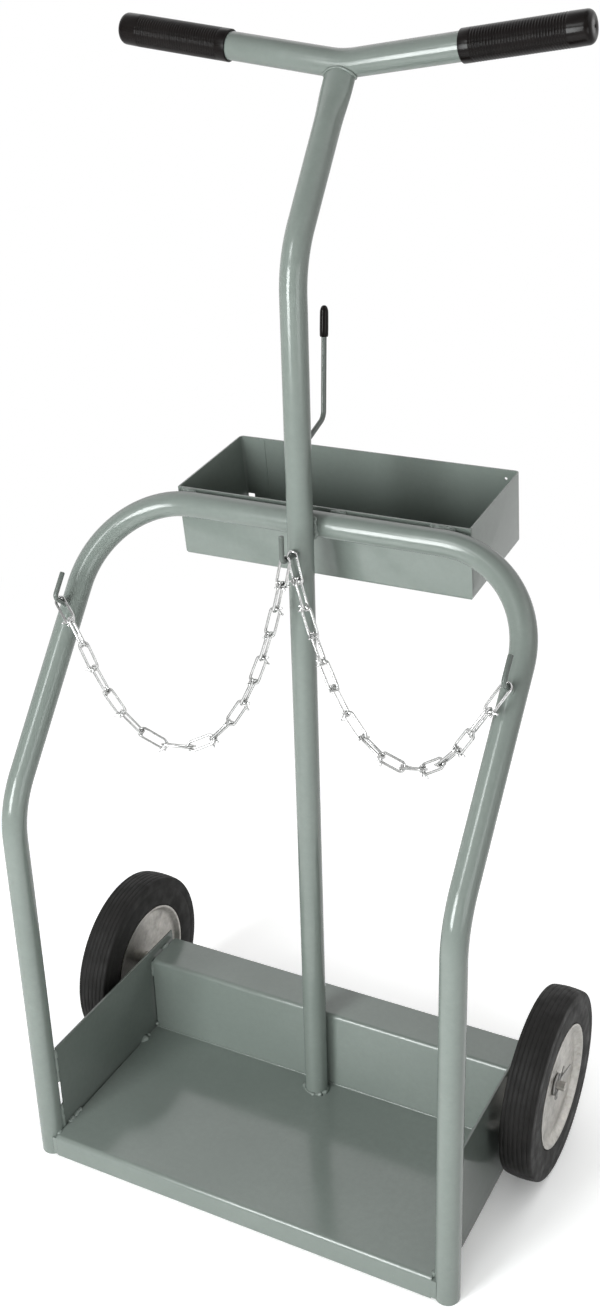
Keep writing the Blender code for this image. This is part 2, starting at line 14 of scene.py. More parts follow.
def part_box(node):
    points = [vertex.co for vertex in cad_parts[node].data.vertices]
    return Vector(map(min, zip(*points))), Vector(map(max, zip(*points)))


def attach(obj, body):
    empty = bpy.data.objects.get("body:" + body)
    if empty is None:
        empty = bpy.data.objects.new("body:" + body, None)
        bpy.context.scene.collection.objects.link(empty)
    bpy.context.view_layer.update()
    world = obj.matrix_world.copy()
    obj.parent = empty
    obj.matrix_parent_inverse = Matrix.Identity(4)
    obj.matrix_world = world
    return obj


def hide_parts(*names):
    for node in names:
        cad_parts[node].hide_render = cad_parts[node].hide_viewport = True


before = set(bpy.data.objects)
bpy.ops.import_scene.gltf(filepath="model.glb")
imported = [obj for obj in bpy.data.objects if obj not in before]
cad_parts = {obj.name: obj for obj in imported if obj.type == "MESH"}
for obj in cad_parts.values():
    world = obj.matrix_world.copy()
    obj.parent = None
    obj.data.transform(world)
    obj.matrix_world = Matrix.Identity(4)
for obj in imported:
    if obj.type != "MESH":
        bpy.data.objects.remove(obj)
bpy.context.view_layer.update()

RIGHT = Vector((1, 0, 0))
BACK = Vector((0, 1, 0))
UP = Vector((0, 0, 1))
SIDES = (("left", -1), ("right", 1))

# Tube of the arch, the mast and the handlebar
TUBE_R = 0.015875
TUBE_WALL = 0.0021
TUBE_SIDES = 48
BEND_RADIUS = 0.127
BEND_STEPS = 28
KINK_HEIGHT = 0.548
MAST_BEND_HEIGHT = 1.198
HANDLE_HEIGHT = 1.389
HANDLE_HALF_LENGTH = 0.285
HANDLE_RISE = math.radians(7.6)
FLAT_LENGTH = 0.030
FLAT_TAPER = 0.045
FLAT_WIDTH = 0.0378
WELD_GAP = 0.0003

# Grips
GRIP_LENGTH = 0.146
GRIP_WALL = 0.0020
GRIP_END = 0.0050
GRIP_VENT = 0.0015
GRIP_VENT_EDGE = 0.0006
GRIP_ROUND = 0.0070
GRIP_TAPER = 0.0003
RIB_PITCH = 0.0033
RIB_DEPTH = 0.0007
RIB_START = 0.012
RIB_END = 0.121

# Sheet metal
SHEET = 0.003
SHEET_BEND = 0.006
EDGE_ROUND = 0.0005
SLOT_DEPTH = 0.003
SLOT_LENGTH = 0.040
SLOT_HEIGHT = 0.092
SLOT_LOW = SLOT_HEIGHT - SLOT_LENGTH / 2
SLOT_HIGH = SLOT_HEIGHT + SLOT_LENGTH / 2
AXLE_BORE = 0.00665

# Tool tray
TRAY_DEPTH = 0.165
TRAY_HEIGHT = 0.096
TRAY_SHEET = 0.0019
TRAY_TILT = math.radians(7)
TRAY_FOLD = 0.006
TRAY_FLOOR_FOLD = 0.0050
TRAY_SEAM = 0.0012
TRAY_SEAM_LENGTH = 0.080
TRAY_RELIEF = 0.010
TRAY_HOLE = 0.004
TRAY_HOLE_INSET = 0.012
FLAP_WIDTH = 0.037
FLAP_SHEET = 0.0010
FLAP_FOOT = 0.012
FLAP_DROP = 0.0015
FLAP_GAP = 0.0005
CUT_PAST = 0.010

# Rods
ROD_R = 0.003175
ROD_BEND = 0.0065
ROD_SIDES = 20
HOOK_RISE = 0.034
LEG_HOOK_REACH = 0.028
LEG_HOOK_ALONG = 0.265
MAST_HOOK_REACH = 0.032
MAST_HOOK_HEIGHT = 0.857
HOSE_FOOT_RISE = 0.103
HOSE_REACH = 0.0505
HOSE_CLIMB = math.radians(20)
HOSE_HEIGHT = 0.148
HOSE_LEAN = math.radians(3.4)
HOSE_BEND = 0.013
TIP_LENGTH = 0.036
TIP_WALL = 0.0017
TIP_DOME = 0.0090

# Wheels
WHEEL_STEPS = 112
RIM_R = 0.084
RIM_HALF_WIDTH = 0.0218
RIM_FLANGE = 0.003
RIM_SEAT = 0.0095
DISC_SHEET = 0.002
DISC_DISH = 0.0103
DISC_CONE = 0.0022
DISC_CORNERS = [0.008, 0.0022]
HUB_R = 0.010
HUB_NOSE = 0.0006
HUB_EDGE = 0.0005
TYRE_SHOULDER = 0.90
TREAD_GROOVES = 6
TREAD_GROOVE = 0.0028
TREAD_DEPTH = 0.0008
TREAD_CROWN = 0.0018
TREAD_SPAN = 0.80
SHOULDER_LINE = 0.0003
WASHER_R = 0.0155
WASHER_THICKNESS = 0.0022
WASHER_EDGE = 0.0004
AXLE_CHAMFER = 0.0012
PIN_WIRE = 0.003
PIN_TAIL = 0.030
PIN_NECK = 0.013
PIN_EYE = 0.004
PIN_ANGLE = math.radians(50)
PIN_SPREAD = 0.0022
PIN_BEND = 0.0080
RUNNING_GAP = 0.0003

# Chains
LINK_LENGTH = 0.0382
LINK_HALF_WIDTH = 0.0061
LINK_WIRE_R = 0.00170
KNOT_WIRE_R = 0.00135
KNOT_TIP = 0.0034

# Welds: how a bead ripples, varies and tapers, then the beads' radii and places
BEAD_PITCH = 0.0032
BEAD_STEP = 0.0005
BEAD_SIDES = 14
BEAD_RIPPLE = 0.05
BEAD_UNEVEN = 0.50
BEAD_GRAIN = 190
BEAD_TAPER = 1.8
BEAD_TIP = 0.02
HANDLE_BEAD = 0.0016
MAST_BEAD = 0.0018
MAST_BLOB = 0.0036
MAST_BLOBS = ((176, 40), (268, 22), (298, 26), (322, 40))
ROD_BEAD = 0.0019
ROD_BEAD_OUT = 0.0004
HOOK_DAB = 0.0024
TRAY_BEAD = 0.0038
TRAY_BEADS = ((-0.192, -0.170), (-0.036, -0.016), (0.018, 0.040), (0.146, 0.180))
TRAY_CREVICE = 0.80
STEP_SEAM = 0.0014
STEP_SEAM_STEP = 0.002
STEP_SEAM_UNEVEN = 0.25
STEP_SEAM_GRAIN = 90

# Camera, fitted to the photograph's frame of 600 by 1310 pixels
CAMERA_PLACE = Vector((0.7904, -1.4752, 1.5136))
CAMERA_TURN = math.radians(28.15)
CAMERA_DIP = math.radians(25.292)
CAMERA_ROLL = math.radians(1.786)
SENSOR = 36.0
LENS = SENSOR * 1508.1 / 1310

# Light
LAMP_AIM = Vector((0.0, 0.0, 0.75))
HIGH_PLACE = Vector((-0.57, -1.95, 2.33))
HIGH_SIZE = (0.58, 0.50)
WIDE_SIZE = (1.20, 1.20)
LAMPS = {
    "key": {"place": Vector((-0.57, -2.0, 1.15)), "size": (0.75, 1.10), "power": 40.0},
    "high": {"place": HIGH_PLACE, "size": HIGH_SIZE, "power": 6.0},
    "glint": {"place": HIGH_PLACE, "size": HIGH_SIZE, "power": 17.0, "lights": False},
    "side": {"place": Vector((2.20, -1.10, 1.00)), "size": WIDE_SIZE, "power": 9.0},
    "soft": {"place": Vector((0.60, -2.40, 1.10)), "size": WIDE_SIZE, "power": 21.0, "mirrored": False},
    "back": {"place": Vector((0.90, 2.50, 1.40)), "size": WIDE_SIZE, "power": 20.0, "mirrored": False},
}
LAMP_TONE = (0.97, 1.0, 1.0)
FILL_TONE = (1.0, 0.96, 0.93, 1)
FILL_LOW = 0.50
FILL_HIGH = 0.06
FILL_SPAN = (0.10, 0.80)
FRONT_LEVEL = 0.35
FRONT_SPAN = (-0.45, 0.05)
PANEL_LEVEL = 1.65
PANEL_SPAN = (0.38, 0.52)
CEILING_LEVEL = 0.35
CEILING_SPAN = (0.78, 0.92)
FLOOR_RADIUS = 9.0
FLOOR_NEAR = 0.9
FLOOR_FAR = 2.2
FLOOR_DROP = 0.0002
FLOOR_TONE = 0.90
FLOOR_LIFT = 0.70
FLOOR_SHADE_REACH = 0.30
FLOOR_MIRRORED = 0.82

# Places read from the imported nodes
ARCH_LOW, ARCH_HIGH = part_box("arch_frame")
LEG_X = ARCH_HIGH.x - TUBE_R
LEG_Y = ARCH_LOW.y + TUBE_R
BAR_Y = ARCH_HIGH.y - TUBE_R
BAR_Z = ARCH_HIGH.z - TUBE_R
LEAN = math.atan2(BAR_Y - LEG_Y, BAR_Z - KINK_HEIGHT)
LEG_UP = Vector((0, math.sin(LEAN), math.cos(LEAN)))
LEG_OUT = Vector((0, -math.cos(LEAN), math.sin(LEAN)))
MAST_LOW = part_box("mast")[0]
MAST_Y = MAST_LOW.y + TUBE_R
HANDLE_MIDDLE = sum(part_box("handlebar"), Vector()) / 2
HANDLE_TOP = Vector((0, HANDLE_MIDDLE.y, HANDLE_HEIGHT))
PLATFORM_LOW, PLATFORM_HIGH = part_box("platform")
STEP_LOW, STEP_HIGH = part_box("rear_step")
PLATE_LOW, PLATE_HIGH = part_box("right_side_plate")
TRAY_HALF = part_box("tool_tray")[1].x
TRAY_PLACE = Vector((
    0,
    BAR_Y + (TUBE_R + WELD_GAP - TUBE_R * math.sin(TRAY_TILT)) / math.cos(TRAY_TILT),
    BAR_Z + TUBE_R,
))
TYRE_LOW, TYRE_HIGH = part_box("right_tyre")
WHEEL_R = (TYRE_HIGH.z - TYRE_LOW.z) / 2
TYRE_HALF = (TYRE_HIGH.x - TYRE_LOW.x) / 2
WHEEL_CENTRE = (TYRE_LOW + TYRE_HIGH) / 2
AXLE_LOW, AXLE_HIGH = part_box("axle")
AXLE_R = (AXLE_HIGH.z - AXLE_LOW.z) / 2


# Node helpers

def node(tree, kind, values=None, **settings):
    """Adds a shader node. A value that is a socket is linked, any other is set on the input."""
    made = tree.nodes.new("ShaderNode" + kind)
    for key, value in settings.items():
        setattr(made, key, value)
    for key, value in (values or {}).items():
        if isinstance(value, bpy.types.NodeSocket):
            tree.links.new(value, made.inputs[key])
        else:
            made.inputs[key].default_value = value
    return made


def new_material(name, **inputs):
    """A Principled material, with constants set on the shader's own sockets."""
    made = bpy.data.materials.new(name)
    made.use_nodes = True
    tree = made.node_tree
    shader = tree.nodes["Principled BSDF"]
    for key, value in inputs.items():
        shader.inputs[key.replace("_", " ").title().replace("Ior", "IOR")].default_value = value
    place = node(tree, "TexCoord").outputs["Object"]
    return made, tree, shader, place


def noise_at(tree, place, scale, detail=3.0, roughness=0.5):
    values = {"Vector": place, "Scale": scale, "Detail": detail, "Roughness": roughness}
    return node(tree, "TexNoise", values).outputs["Fac"]


def spread(tree, value, low, high, to_low, to_high):
    values = {"Value": value, "From Min": low, "From Max": high, "To Min": to_low, "To Max": to_high}
    return node(tree, "MapRange", values).outputs["Result"]


def mixed(tree, factor, first, second):
    """A colour between two, each a colour or a socket."""
    made = node(tree, "Mix", data_type="RGBA")
    colour_inputs = [s for s in made.inputs if s.type == "RGBA"]
    for socket, value in zip([made.inputs[0]] + colour_inputs, (factor, first, second)):
        if isinstance(value, bpy.types.NodeSocket):
            tree.links.new(value, socket)
        else:
            socket.default_value = value
    return [s for s in made.outputs if s.type == "RGBA"][0]


def connect(tree, shader, tone, rough, height, strength, distance):
    """Links a shader's colour, its roughness and a bump."""
    bump = node(tree, "Bump", {"Height": height, "Strength": strength, "Distance": distance})
    tree.links.new(tone, shader.inputs["Base Color"])
    tree.links.new(rough, shader.inputs["Roughness"])
    tree.links.new(bump.outputs["Normal"], shader.inputs["Normal"])


def calc(tree, operation, first, second):
    return node(tree, "Math", {0: first, 1: second}, operation=operation).outputs[0]


def seen(tree, path):
    """1 on a ray that the camera sees, also by way of a mirror or glass, and 0 on other rays."""
    shown = calc(tree, "MAXIMUM", path["Is Camera Ray"], path["Is Glossy Ray"])
    return calc(tree, "MAXIMUM", shown, path["Is Transmission Ray"])


# Finishes: each is a material and the slot that it stands for

def paint_finish(name, level):
    """Gloss grey-green paint: cloudy tone, mottle, dust nibs, fine scuffs, orange peel. level scales it."""
    made, tree, shader, place = new_material(name, ior=1.52)

    def shade(red, green, blue):
        return (red * level, green * level, blue * level, 1)

    cloud = spread(tree, noise_at(tree, place, 7.0, 4.0), 0.3, 0.7, 0.0, 1.0)
    tone = mixed(tree, cloud, shade(0.172, 0.201, 0.183), shade(0.194, 0.224, 0.204))
    mottle = spread(tree, noise_at(tree, place, 110.0, 5.0, 0.7), 0.35, 0.65, 0.0, 0.45)
    tone = mixed(tree, mottle, tone, shade(0.160, 0.186, 0.170))
    speck = spread(tree, noise_at(tree, place, 420.0, 1.0), 0.78, 0.84, 0.0, 0.4)
    tone = mixed(tree, speck, tone, shade(0.33, 0.36, 0.33))
    scuff = spread(tree, noise_at(tree, place, 16.0, 5.0, 0.65), 0.62, 0.78, 0.0, 0.28)
    tone = mixed(tree, scuff, tone, shade(0.150, 0.172, 0.157))
    rough = spread(tree, noise_at(tree, place, 22.0, 4.0), 0.3, 0.7, 0.12, 0.19)
    connect(tree, shader, tone, rough, noise_at(tree, place, 130.0, 2.0), 0.05, 0.0004)
    return made, "grey_green_paint"


def zinc_finish(name, light, dark, rough_low, rough_high, grain):
    """Zinc plate: mottled between a light and a dark tone, with a fine crystal grain."""
    made, tree, shader, place = new_material(name, metallic=1.0)
    mottle = spread(tree, noise_at(tree, place, grain, 5.0, 0.6), 0.32, 0.68, 0.0, 1.0)
    crystal = node(tree, "TexVoronoi", {"Vector": place, "Scale": grain * 6}).outputs["Color"]
    crystal = node(tree, "HueSaturation", {"Saturation": 0.12, "Color": crystal}).outputs["Color"]
    tone = mixed(tree, mottle, (*dark, 1), (*light, 1))
    tone = mixed(tree, 0.10, tone, crystal)
    rough = spread(tree, noise_at(tree, place, grain * 1.7, 4.0), 0.3, 0.7, rough_low, rough_high)
    connect(tree, shader, tone, rough, noise_at(tree, place, grain * 9, 3.0), 0.12, 0.0004)
    return made, "zinc_plate"


def rubber_finish():
    """Matt tyre rubber with a film of dust."""
    made, tree, shader, place = new_material("tyre_rubber", specular_ior_level=0.22)
    dust = spread(tree, noise_at(tree, place, 26.0, 6.0, 0.65), 0.35, 0.75, 0.0, 0.55)
    tone = mixed(tree, dust, (0.0078, 0.0074, 0.0070, 1), (0.0160, 0.0148, 0.0140, 1))
    rough = spread(tree, noise_at(tree, place, 60.0, 3.0), 0.3, 0.7, 0.52, 0.74)
    connect(tree, shader, tone, rough, noise_at(tree, place, 700.0, 3.0), 0.25, 0.0004)
    return made, "black_rubber"


def vinyl_finish():
    """Satin black vinyl with a soft moulded grain."""
    made, tree, shader, place = new_material("grip_vinyl", specular_ior_level=0.15)
    cloud = spread(tree, noise_at(tree, place, 40.0, 4.0), 0.3, 0.7, 0.0, 1.0)
    tone = mixed(tree, cloud, (0.0048, 0.0036, 0.0034, 1), (0.0085, 0.0066, 0.0062, 1))
    rough = spread(tree, noise_at(tree, place, 90.0, 3.0), 0.3, 0.7, 0.14, 0.24)
    connect(tree, shader, tone, rough, noise_at(tree, place, 900.0, 2.0), 0.15, 0.0003)
    return made, "black_vinyl"


PAINT = paint_finish("paint_gloss", 1.03)
# A darker copy of the paint: painted shade for the side plates, which lie in shade
SHADED_PAINT = paint_finish("paint_shaded", 0.72)
# A uniformly darker copy of the paint, for the rods
DARKER_PAINT = paint_finish("paint_darker", 0.60)
ZINC = zinc_finish("zinc_dull", (0.51, 0.49, 0.455), (0.30, 0.287, 0.265), 0.30, 0.48, 48.0)
STEEL = zinc_finish("zinc_worn", (0.36, 0.355, 0.345), (0.24, 0.235, 0.23), 0.26, 0.42, 140.0)
BRIGHT = zinc_finish("zinc_bright", (0.70, 0.70, 0.695), (0.48, 0.48, 0.475), 0.10, 0.20, 160.0)
RUBBER = rubber_finish()
VINYL = vinyl_finish()


# Mesh helpers

def rounded(corners, radius, steps):
    """The points of a path whose inner corners are arcs. radius is one number, or one for each corner."""
    corners = [Vector(c) for c in corners]
    radii = radius if isinstance(radius, list) else [radius] * (len(corners) - 2)
    points = [corners[0]]
    for before, corner, after, r in zip(corners, corners[1:], corners[2:], radii):
        back = (before - corner).normalized()
        ahead = (after - corner).normalized()
        turn = math.pi - back.angle(ahead)
        reach = r * math.tan(turn / 2)
        centre = corner + (back + ahead).normalized() * r / math.cos(turn / 2)
        start = corner + back * reach - centre
        axis = start.cross(corner + ahead * reach - centre).normalized()
        for i in range(steps + 1):
            points.append(centre + Matrix.Rotation(turn * i / steps, 3, axis) @ start)
    points.append(corners[-1])
    return points


def evenly(points, step):
    """A path with its points set again at equal steps."""
    points = [Vector(p) for p in points]
    runs = [(b - a).length for a, b in zip(points, points[1:])]
    count = max(int(sum(runs) / step), 2)
    made = []
    for i in range(count + 1):
        left = sum(runs) * i / count
        k = 0
        while k < len(runs) - 1 and left > runs[k]:
            left -= runs[k]
            k += 1
        made.append(points[k].lerp(points[k + 1], min(left / runs[k], 1.0)))
    return made


def round_ends(points, radius, edge, first=True, last=True, steps=5):
    """A path with extra rings at its ends, and each ring's size there, so that a rod's ends are round."""
    points = [Vector(p) for p in points]
    arc = [math.pi / 2 * i / steps for i in range(steps + 1)]
    sizes = [1.0] * len(points)
    if last:
        way = (points[-1] - points[-2]).normalized()
        points[-1:] = [points[-1] - way * edge * (1 - math.sin(a)) for a in arc]
        sizes[-1:] = [1 - edge / radius * (1 - math.cos(a)) for a in arc]
    if first:
        way = (points[0] - points[1]).normalized()
        points[:1] = [points[0] - way * edge * (1 - math.sin(a)) for a in reversed(arc)]
        sizes[:1] = [1 - edge / radius * (1 - math.cos(a)) for a in reversed(arc)]
    return points, sizes


def rings(bm, points, radius, sides, side_axis, sizes=None, loop=False):
    """Rings of vertices square to a path. A size is a ring's scale, or its (wide, flat) pair of scales."""
    made = []
    normal = Vector(side_axis)
    count = len(points)
    for i, point in enumerate(points):
        if loop:
            tangent = points[(i + 1) % count] - points[i - 1]
        else:
            tangent = points[min(i + 1, count - 1)] - points[max(i - 1, 0)]
        tangent.normalize()
        normal = (normal - tangent * normal.dot(tangent)).normalized()
        across = tangent.cross(normal)
        size = sizes[i] if sizes else 1.0
        wide, flat = size if isinstance(size, tuple) else (size, size)
        ring = []
        for k in range(sides):
            angle = 2 * math.pi * k / sides
            offset = normal * (wide * math.cos(angle)) + across * (flat * math.sin(angle))
            ring.append(bm.verts.new(point + offset * radius))
        made.append(ring)
    return made


def skin(bm, first, second):
    count = len(first)
    for k in range(count):
        bm.faces.new((first[k], first[(k + 1) % count], second[(k + 1) % count], second[k]))


def sweep(bm, points, radius, sides, side_axis=RIGHT, sizes=None, bore=0.0, loop=False):
    """Adds a rod along a path, or a tube if it has a bore. Returns its rings, a tube's in two lists."""
    points = [Vector(p) for p in points]
    outer = rings(bm, points, radius, sides, side_axis, sizes, loop)
    follow = outer[1:] + outer[:1] if loop else outer[1:]
    for first, second in zip(outer, follow):
        skin(bm, first, second)
    if bore:
        inner = rings(bm, points, bore, sides, side_axis, sizes)
        for first, second in zip(inner, inner[1:]):
            skin(bm, first, second)
        skin(bm, outer[0], inner[0])
        skin(bm, outer[-1], inner[-1])
        return outer, inner
    if not loop:
        bm.faces.new(outer[0])
        bm.faces.new(outer[-1])
    return outer


def mesh_from(bm, sharp=38):
    """A shaded mesh. sharp is the angle in degrees from which an edge is shown sharp."""
    bmesh.ops.recalc_face_normals(bm, faces=bm.faces)
    mesh = bpy.data.meshes.new("mesh")
    bm.to_mesh(mesh)
    bm.free()
    mesh.shade_smooth()
    mesh.set_sharp_from_angle(angle=math.radians(sharp))
    return mesh


def rod(points, radius, sides, **options):
    bm = bmesh.new()
    sweep(bm, points, radius, sides, **options)
    return mesh_from(bm)


def turned(profile, steps, closed=True, sharp=38):
    """An outline of (x, radius) points, spun round the X axis. One that isn't closed ends on the axis."""
    bm = bmesh.new()
    verts = [bm.verts.new((x, 0, r)) for x, r in profile]
    pairs = list(zip(verts, verts[1:]))
    if closed:
        pairs.append((verts[-1], verts[0]))
    edges = [bm.edges.new(pair) for pair in pairs]
    bmesh.ops.spin(bm, geom=verts + edges, axis=RIGHT, angle=2 * math.pi, steps=steps, use_merge=True)
    bmesh.ops.remove_doubles(bm, verts=bm.verts, dist=1e-6)
    return mesh_from(bm, sharp)


def circle(centre, radius, first, second, steps, start=0.0, turn=2 * math.pi):
    """Points on a circle, or on a part of one, in the plane of two directions."""
    made = []
    for i in range(steps + 1):
        angle = start + turn * i / steps
        made.append(centre + first * (radius * math.cos(angle)) + second * (radius * math.sin(angle)))
    return made


def drawn_out(outline, way, holes=(), sharp=25):
    """A flat outline, with any holes in it, drawn out along a vector."""
    bm = bmesh.new()
    edges = []
    for ring in (outline, *holes):
        verts = [bm.verts.new(p) for p in ring]
        edges += [bm.edges.new(pair) for pair in zip(verts, verts[1:] + verts[:1])]
    if holes:
        bmesh.ops.triangle_fill(bm, edges=edges, use_beauty=True)
    else:
        bm.faces.new(bm.verts)
    grown = bmesh.ops.extrude_face_region(bm, geom=list(bm.faces))["geom"]
    moved = [v for v in grown if isinstance(v, bmesh.types.BMVert)]
    bmesh.ops.translate(bm, verts=moved, vec=way)
    return mesh_from(bm, sharp)


def piece(name, mesh, finish, stands_for=(), body="frame", matrix=None):
    """A piece of the cart, with its finish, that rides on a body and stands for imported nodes."""
    surface, slot = finish
    mesh.name = name
    mesh.materials.append(surface)
    made = bpy.data.objects.new(name, mesh)
    bpy.context.scene.collection.objects.link(made)
    if matrix is not None:
        made.matrix_world = matrix
    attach(made, body)
    if stands_for:
        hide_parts(*stands_for)
    return made


def soften(obj, width=EDGE_ROUND, segments=2):
    """Rounds an object's sharp edges a little, so that they catch the light."""
    made = obj.modifiers.new("edges", "BEVEL")
    made.width = width
    made.segments = segments
    made.limit_method = "ANGLE"
    made.angle_limit = math.radians(40)


def bead(bm, points, radius, side_axis=RIGHT, loop=False):
    """Adds a weld bead along a path: overlapping ripples, uneven width and round ends."""
    points = evenly(points, BEAD_STEP)
    if loop:
        points = points[:-1]
    count = len(points)
    sizes = []
    for i, point in enumerate(points):
        along = i * BEAD_STEP
        ripple = 1 - BEAD_RIPPLE * (1 - abs(math.sin(math.pi * along / BEAD_PITCH)))
        uneven = 1 + BEAD_UNEVEN * noise.noise(point * BEAD_GRAIN)
        near = min(i, count - 1 - i) * BEAD_STEP / (radius * BEAD_TAPER)
        taper = 1.0 if loop else math.sqrt(max(1 - (1 - min(near, 1)) ** 2, BEAD_TIP))
        sizes.append(ripple * uneven * taper)
    sweep(bm, points, radius, BEAD_SIDES, side_axis, sizes, loop=loop)


def welds(name, beads):
    """One piece made of several beads, each given by what bead() takes."""
    bm = bmesh.new()
    for item in beads:
        bead(bm, *item)
    piece(name, mesh_from(bm, sharp=60), PAINT)


# Frame

def handle_path():
    out = Vector((math.cos(HANDLE_RISE), 0, math.sin(HANDLE_RISE))) * HANDLE_HALF_LENGTH
    ends = [HANDLE_TOP + Vector((-out.x, 0, out.z)), HANDLE_TOP, HANDLE_TOP + out]
    return rounded(ends, BEND_RADIUS, steps=16)


def distance_to(path, point):
    """How far a point is from a path."""
    best = 1e9
    for a, b in zip(path, path[1:]):
        run = b - a
        t = max(0.0, min(1.0, (point - a).dot(run) / run.length_squared))
        best = min(best, (point - a - run * t).length)
    return best


def onto_handle(path, point, way):
    """The place where a point that moves along way meets the handlebar."""
    near, far = -2 * FLAT_LENGTH, 0.0
    for _ in range(40):
        middle = (near + far) / 2
        if distance_to(path, point + way * middle) > TUBE_R + WELD_GAP:
            near = middle
        else:
            far = middle
    return point + way * near


def build_arch():
    feet = [Vector((side * LEG_X, LEG_Y, 0)) for side in (-1, 1)]
    kinks = [foot + UP * KINK_HEIGHT for foot in feet]
    shoulders = [Vector((foot.x, BAR_Y, BAR_Z)) for foot in feet]
    corners = [feet[0], kinks[0], shoulders[0], shoulders[1], kinks[1], feet[1]]
    path = rounded(corners, BEND_RADIUS, BEND_STEPS)
    mesh = rod(path, TUBE_R, TUBE_SIDES, bore=TUBE_R - TUBE_WALL)
    soften(piece("arch_frame_tube", mesh, PAINT, ["arch_frame"]))


def build_mast():
    """The mast's top is pressed wide and shaped to the handlebar, which rests in it."""
    foot = Vector((0, MAST_Y, MAST_LOW.z))
    bend = Vector((0, MAST_Y, MAST_BEND_HEIGHT))
    slope = (HANDLE_TOP - bend).normalized()
    path = rounded([foot, bend, HANDLE_TOP], BEND_RADIUS, BEND_STEPS)[:-1]
    sizes = [1.0] * len(path)
    steps = 14
    most = FLAT_WIDTH / (2 * TUBE_R)
    for i in range(steps + 1):
        t = i / steps
        eased = t * t * (3 - 2 * t)
        wide = 1 + (most - 1) * eased
        path.append(HANDLE_TOP - slope * (FLAT_LENGTH + FLAT_TAPER * (1 - t)))
        sizes.append((wide, math.sqrt(2 - wide * wide)))
    path.append(HANDLE_TOP)
    sizes.append(sizes[-1])
    bm = bmesh.new()
    outer, inner = sweep(bm, path, TUBE_R, TUBE_SIDES, sizes=sizes, bore=TUBE_R - TUBE_WALL)
    bar = handle_path()
    for vert in outer[-1] + inner[-1]:
        vert.co = onto_handle(bar, vert.co, slope)
    rim = [v.co.copy() for v in outer[-1]]
    piece("mast_tube", mesh_from(bm), PAINT, ["mast"])
    mesh = rod(bar, TUBE_R, TUBE_SIDES, side_axis=BACK, bore=TUBE_R - TUBE_WALL)
    piece("handlebar_tube", mesh, PAINT, ["handlebar"])
    build_mast_welds(foot, rim, slope)


def build_mast_welds(foot, rim, slope):
    """A bead where the handlebar lies in the mast's top, and one with lumps on it round the mast's foot."""
    middle = sum(rim, Vector()) / len(rim)
    rim = [p + (p - middle).normalized() * 0.0008 - slope * 0.0006 for p in rim]
    welds("handlebar_weld", [(rim + rim[:1], HANDLE_BEAD, RIGHT, True)])

    def arc(rise, out, steps, start, turn):
        centre = foot + UP * rise
        return circle(centre, TUBE_R + out, RIGHT, BACK, steps, math.radians(start), math.radians(turn))

    beads = [(arc(0.0004, 0.0006, 40, 140, 260), MAST_BEAD)]
    for start, turn in MAST_BLOBS:
        beads.append((arc(0.0008, 0.0016, 8, start, turn), MAST_BLOB))
    welds("mast_foot_weld", beads)


def grip_profile():
    """A ribbed sleeve with a rounded mouth and a closed, vented end."""
    bore = TUBE_R + WELD_GAP
    outer = bore + GRIP_WALL
    inside = GRIP_LENGTH - GRIP_END
    lip = GRIP_WALL * 0.55
    profile = [(0, bore)]
    for a in np.linspace(0, math.pi / 2, 6):
        profile.append((lip - lip * math.cos(a), outer - lip + lip * math.sin(a)))
    ribs = int((RIB_END - RIB_START) / RIB_PITCH)
    steps = 8
    for i in range(ribs * steps + 1):
        wave = 0.5 - 0.5 * math.cos(2 * math.pi * i / steps)
        profile.append((RIB_START + RIB_PITCH * i / steps, outer - RIB_DEPTH * wave ** 1.6))
    centre = (GRIP_LENGTH - GRIP_ROUND, outer - GRIP_TAPER - GRIP_ROUND)
    for a in np.linspace(math.pi / 2, 0, 9):
        profile.append((centre[0] + GRIP_ROUND * math.cos(a), centre[1] + GRIP_ROUND * math.sin(a)))
    profile += [(GRIP_LENGTH, GRIP_VENT + GRIP_VENT_EDGE), (GRIP_LENGTH - GRIP_VENT_EDGE, GRIP_VENT)]
    return profile + [(inside, GRIP_VENT), (inside, bore)]


def build_grips():
    """Each grip's place is worked into its mesh, so that its box fits it closely."""
    start = HANDLE_HALF_LENGTH + WELD_GAP - (GRIP_LENGTH - GRIP_END)
    for word, side in SIDES:
        along = Vector((side * math.cos(HANDLE_RISE), 0, math.sin(HANDLE_RISE)))
        turn = RIGHT.rotation_difference(along).to_matrix().to_4x4()
        where = Matrix.Translation(HANDLE_TOP + along * start) @ turn
        mesh = turned(grip_profile(), 72, sharp=50)
        mesh.transform(where)
        piece(f"{word}_grip_vinyl", mesh, VINYL, [f"{word}_grip"])


# Base

def folded(foot, corner, end):
    """The outline of a sheet that rises at the front and is folded back at the top, in the plane x = 0."""
    outer = rounded([(0, *foot), (0, *corner), (0, *end)], SHEET_BEND, steps=12)
    inner = [(foot[0] + SHEET, foot[1]), (corner[0] + SHEET, corner[1] - SHEET), (end[0], end[1] - SHEET)]
    inner = rounded([(0, *p) for p in inner], SHEET_BEND - SHEET, steps=12)
    return outer + inner[::-1]


def folded_sheet(name, low, high, stands_for):
    outline = folded((low.y, low.z), (low.y, high.z), (high.y, high.z))
    outline = [p + RIGHT * low.x for p in outline]
    mesh = drawn_out(outline, RIGHT * (high.x - low.x))
    soften(piece(name, mesh, PAINT, [stands_for]))


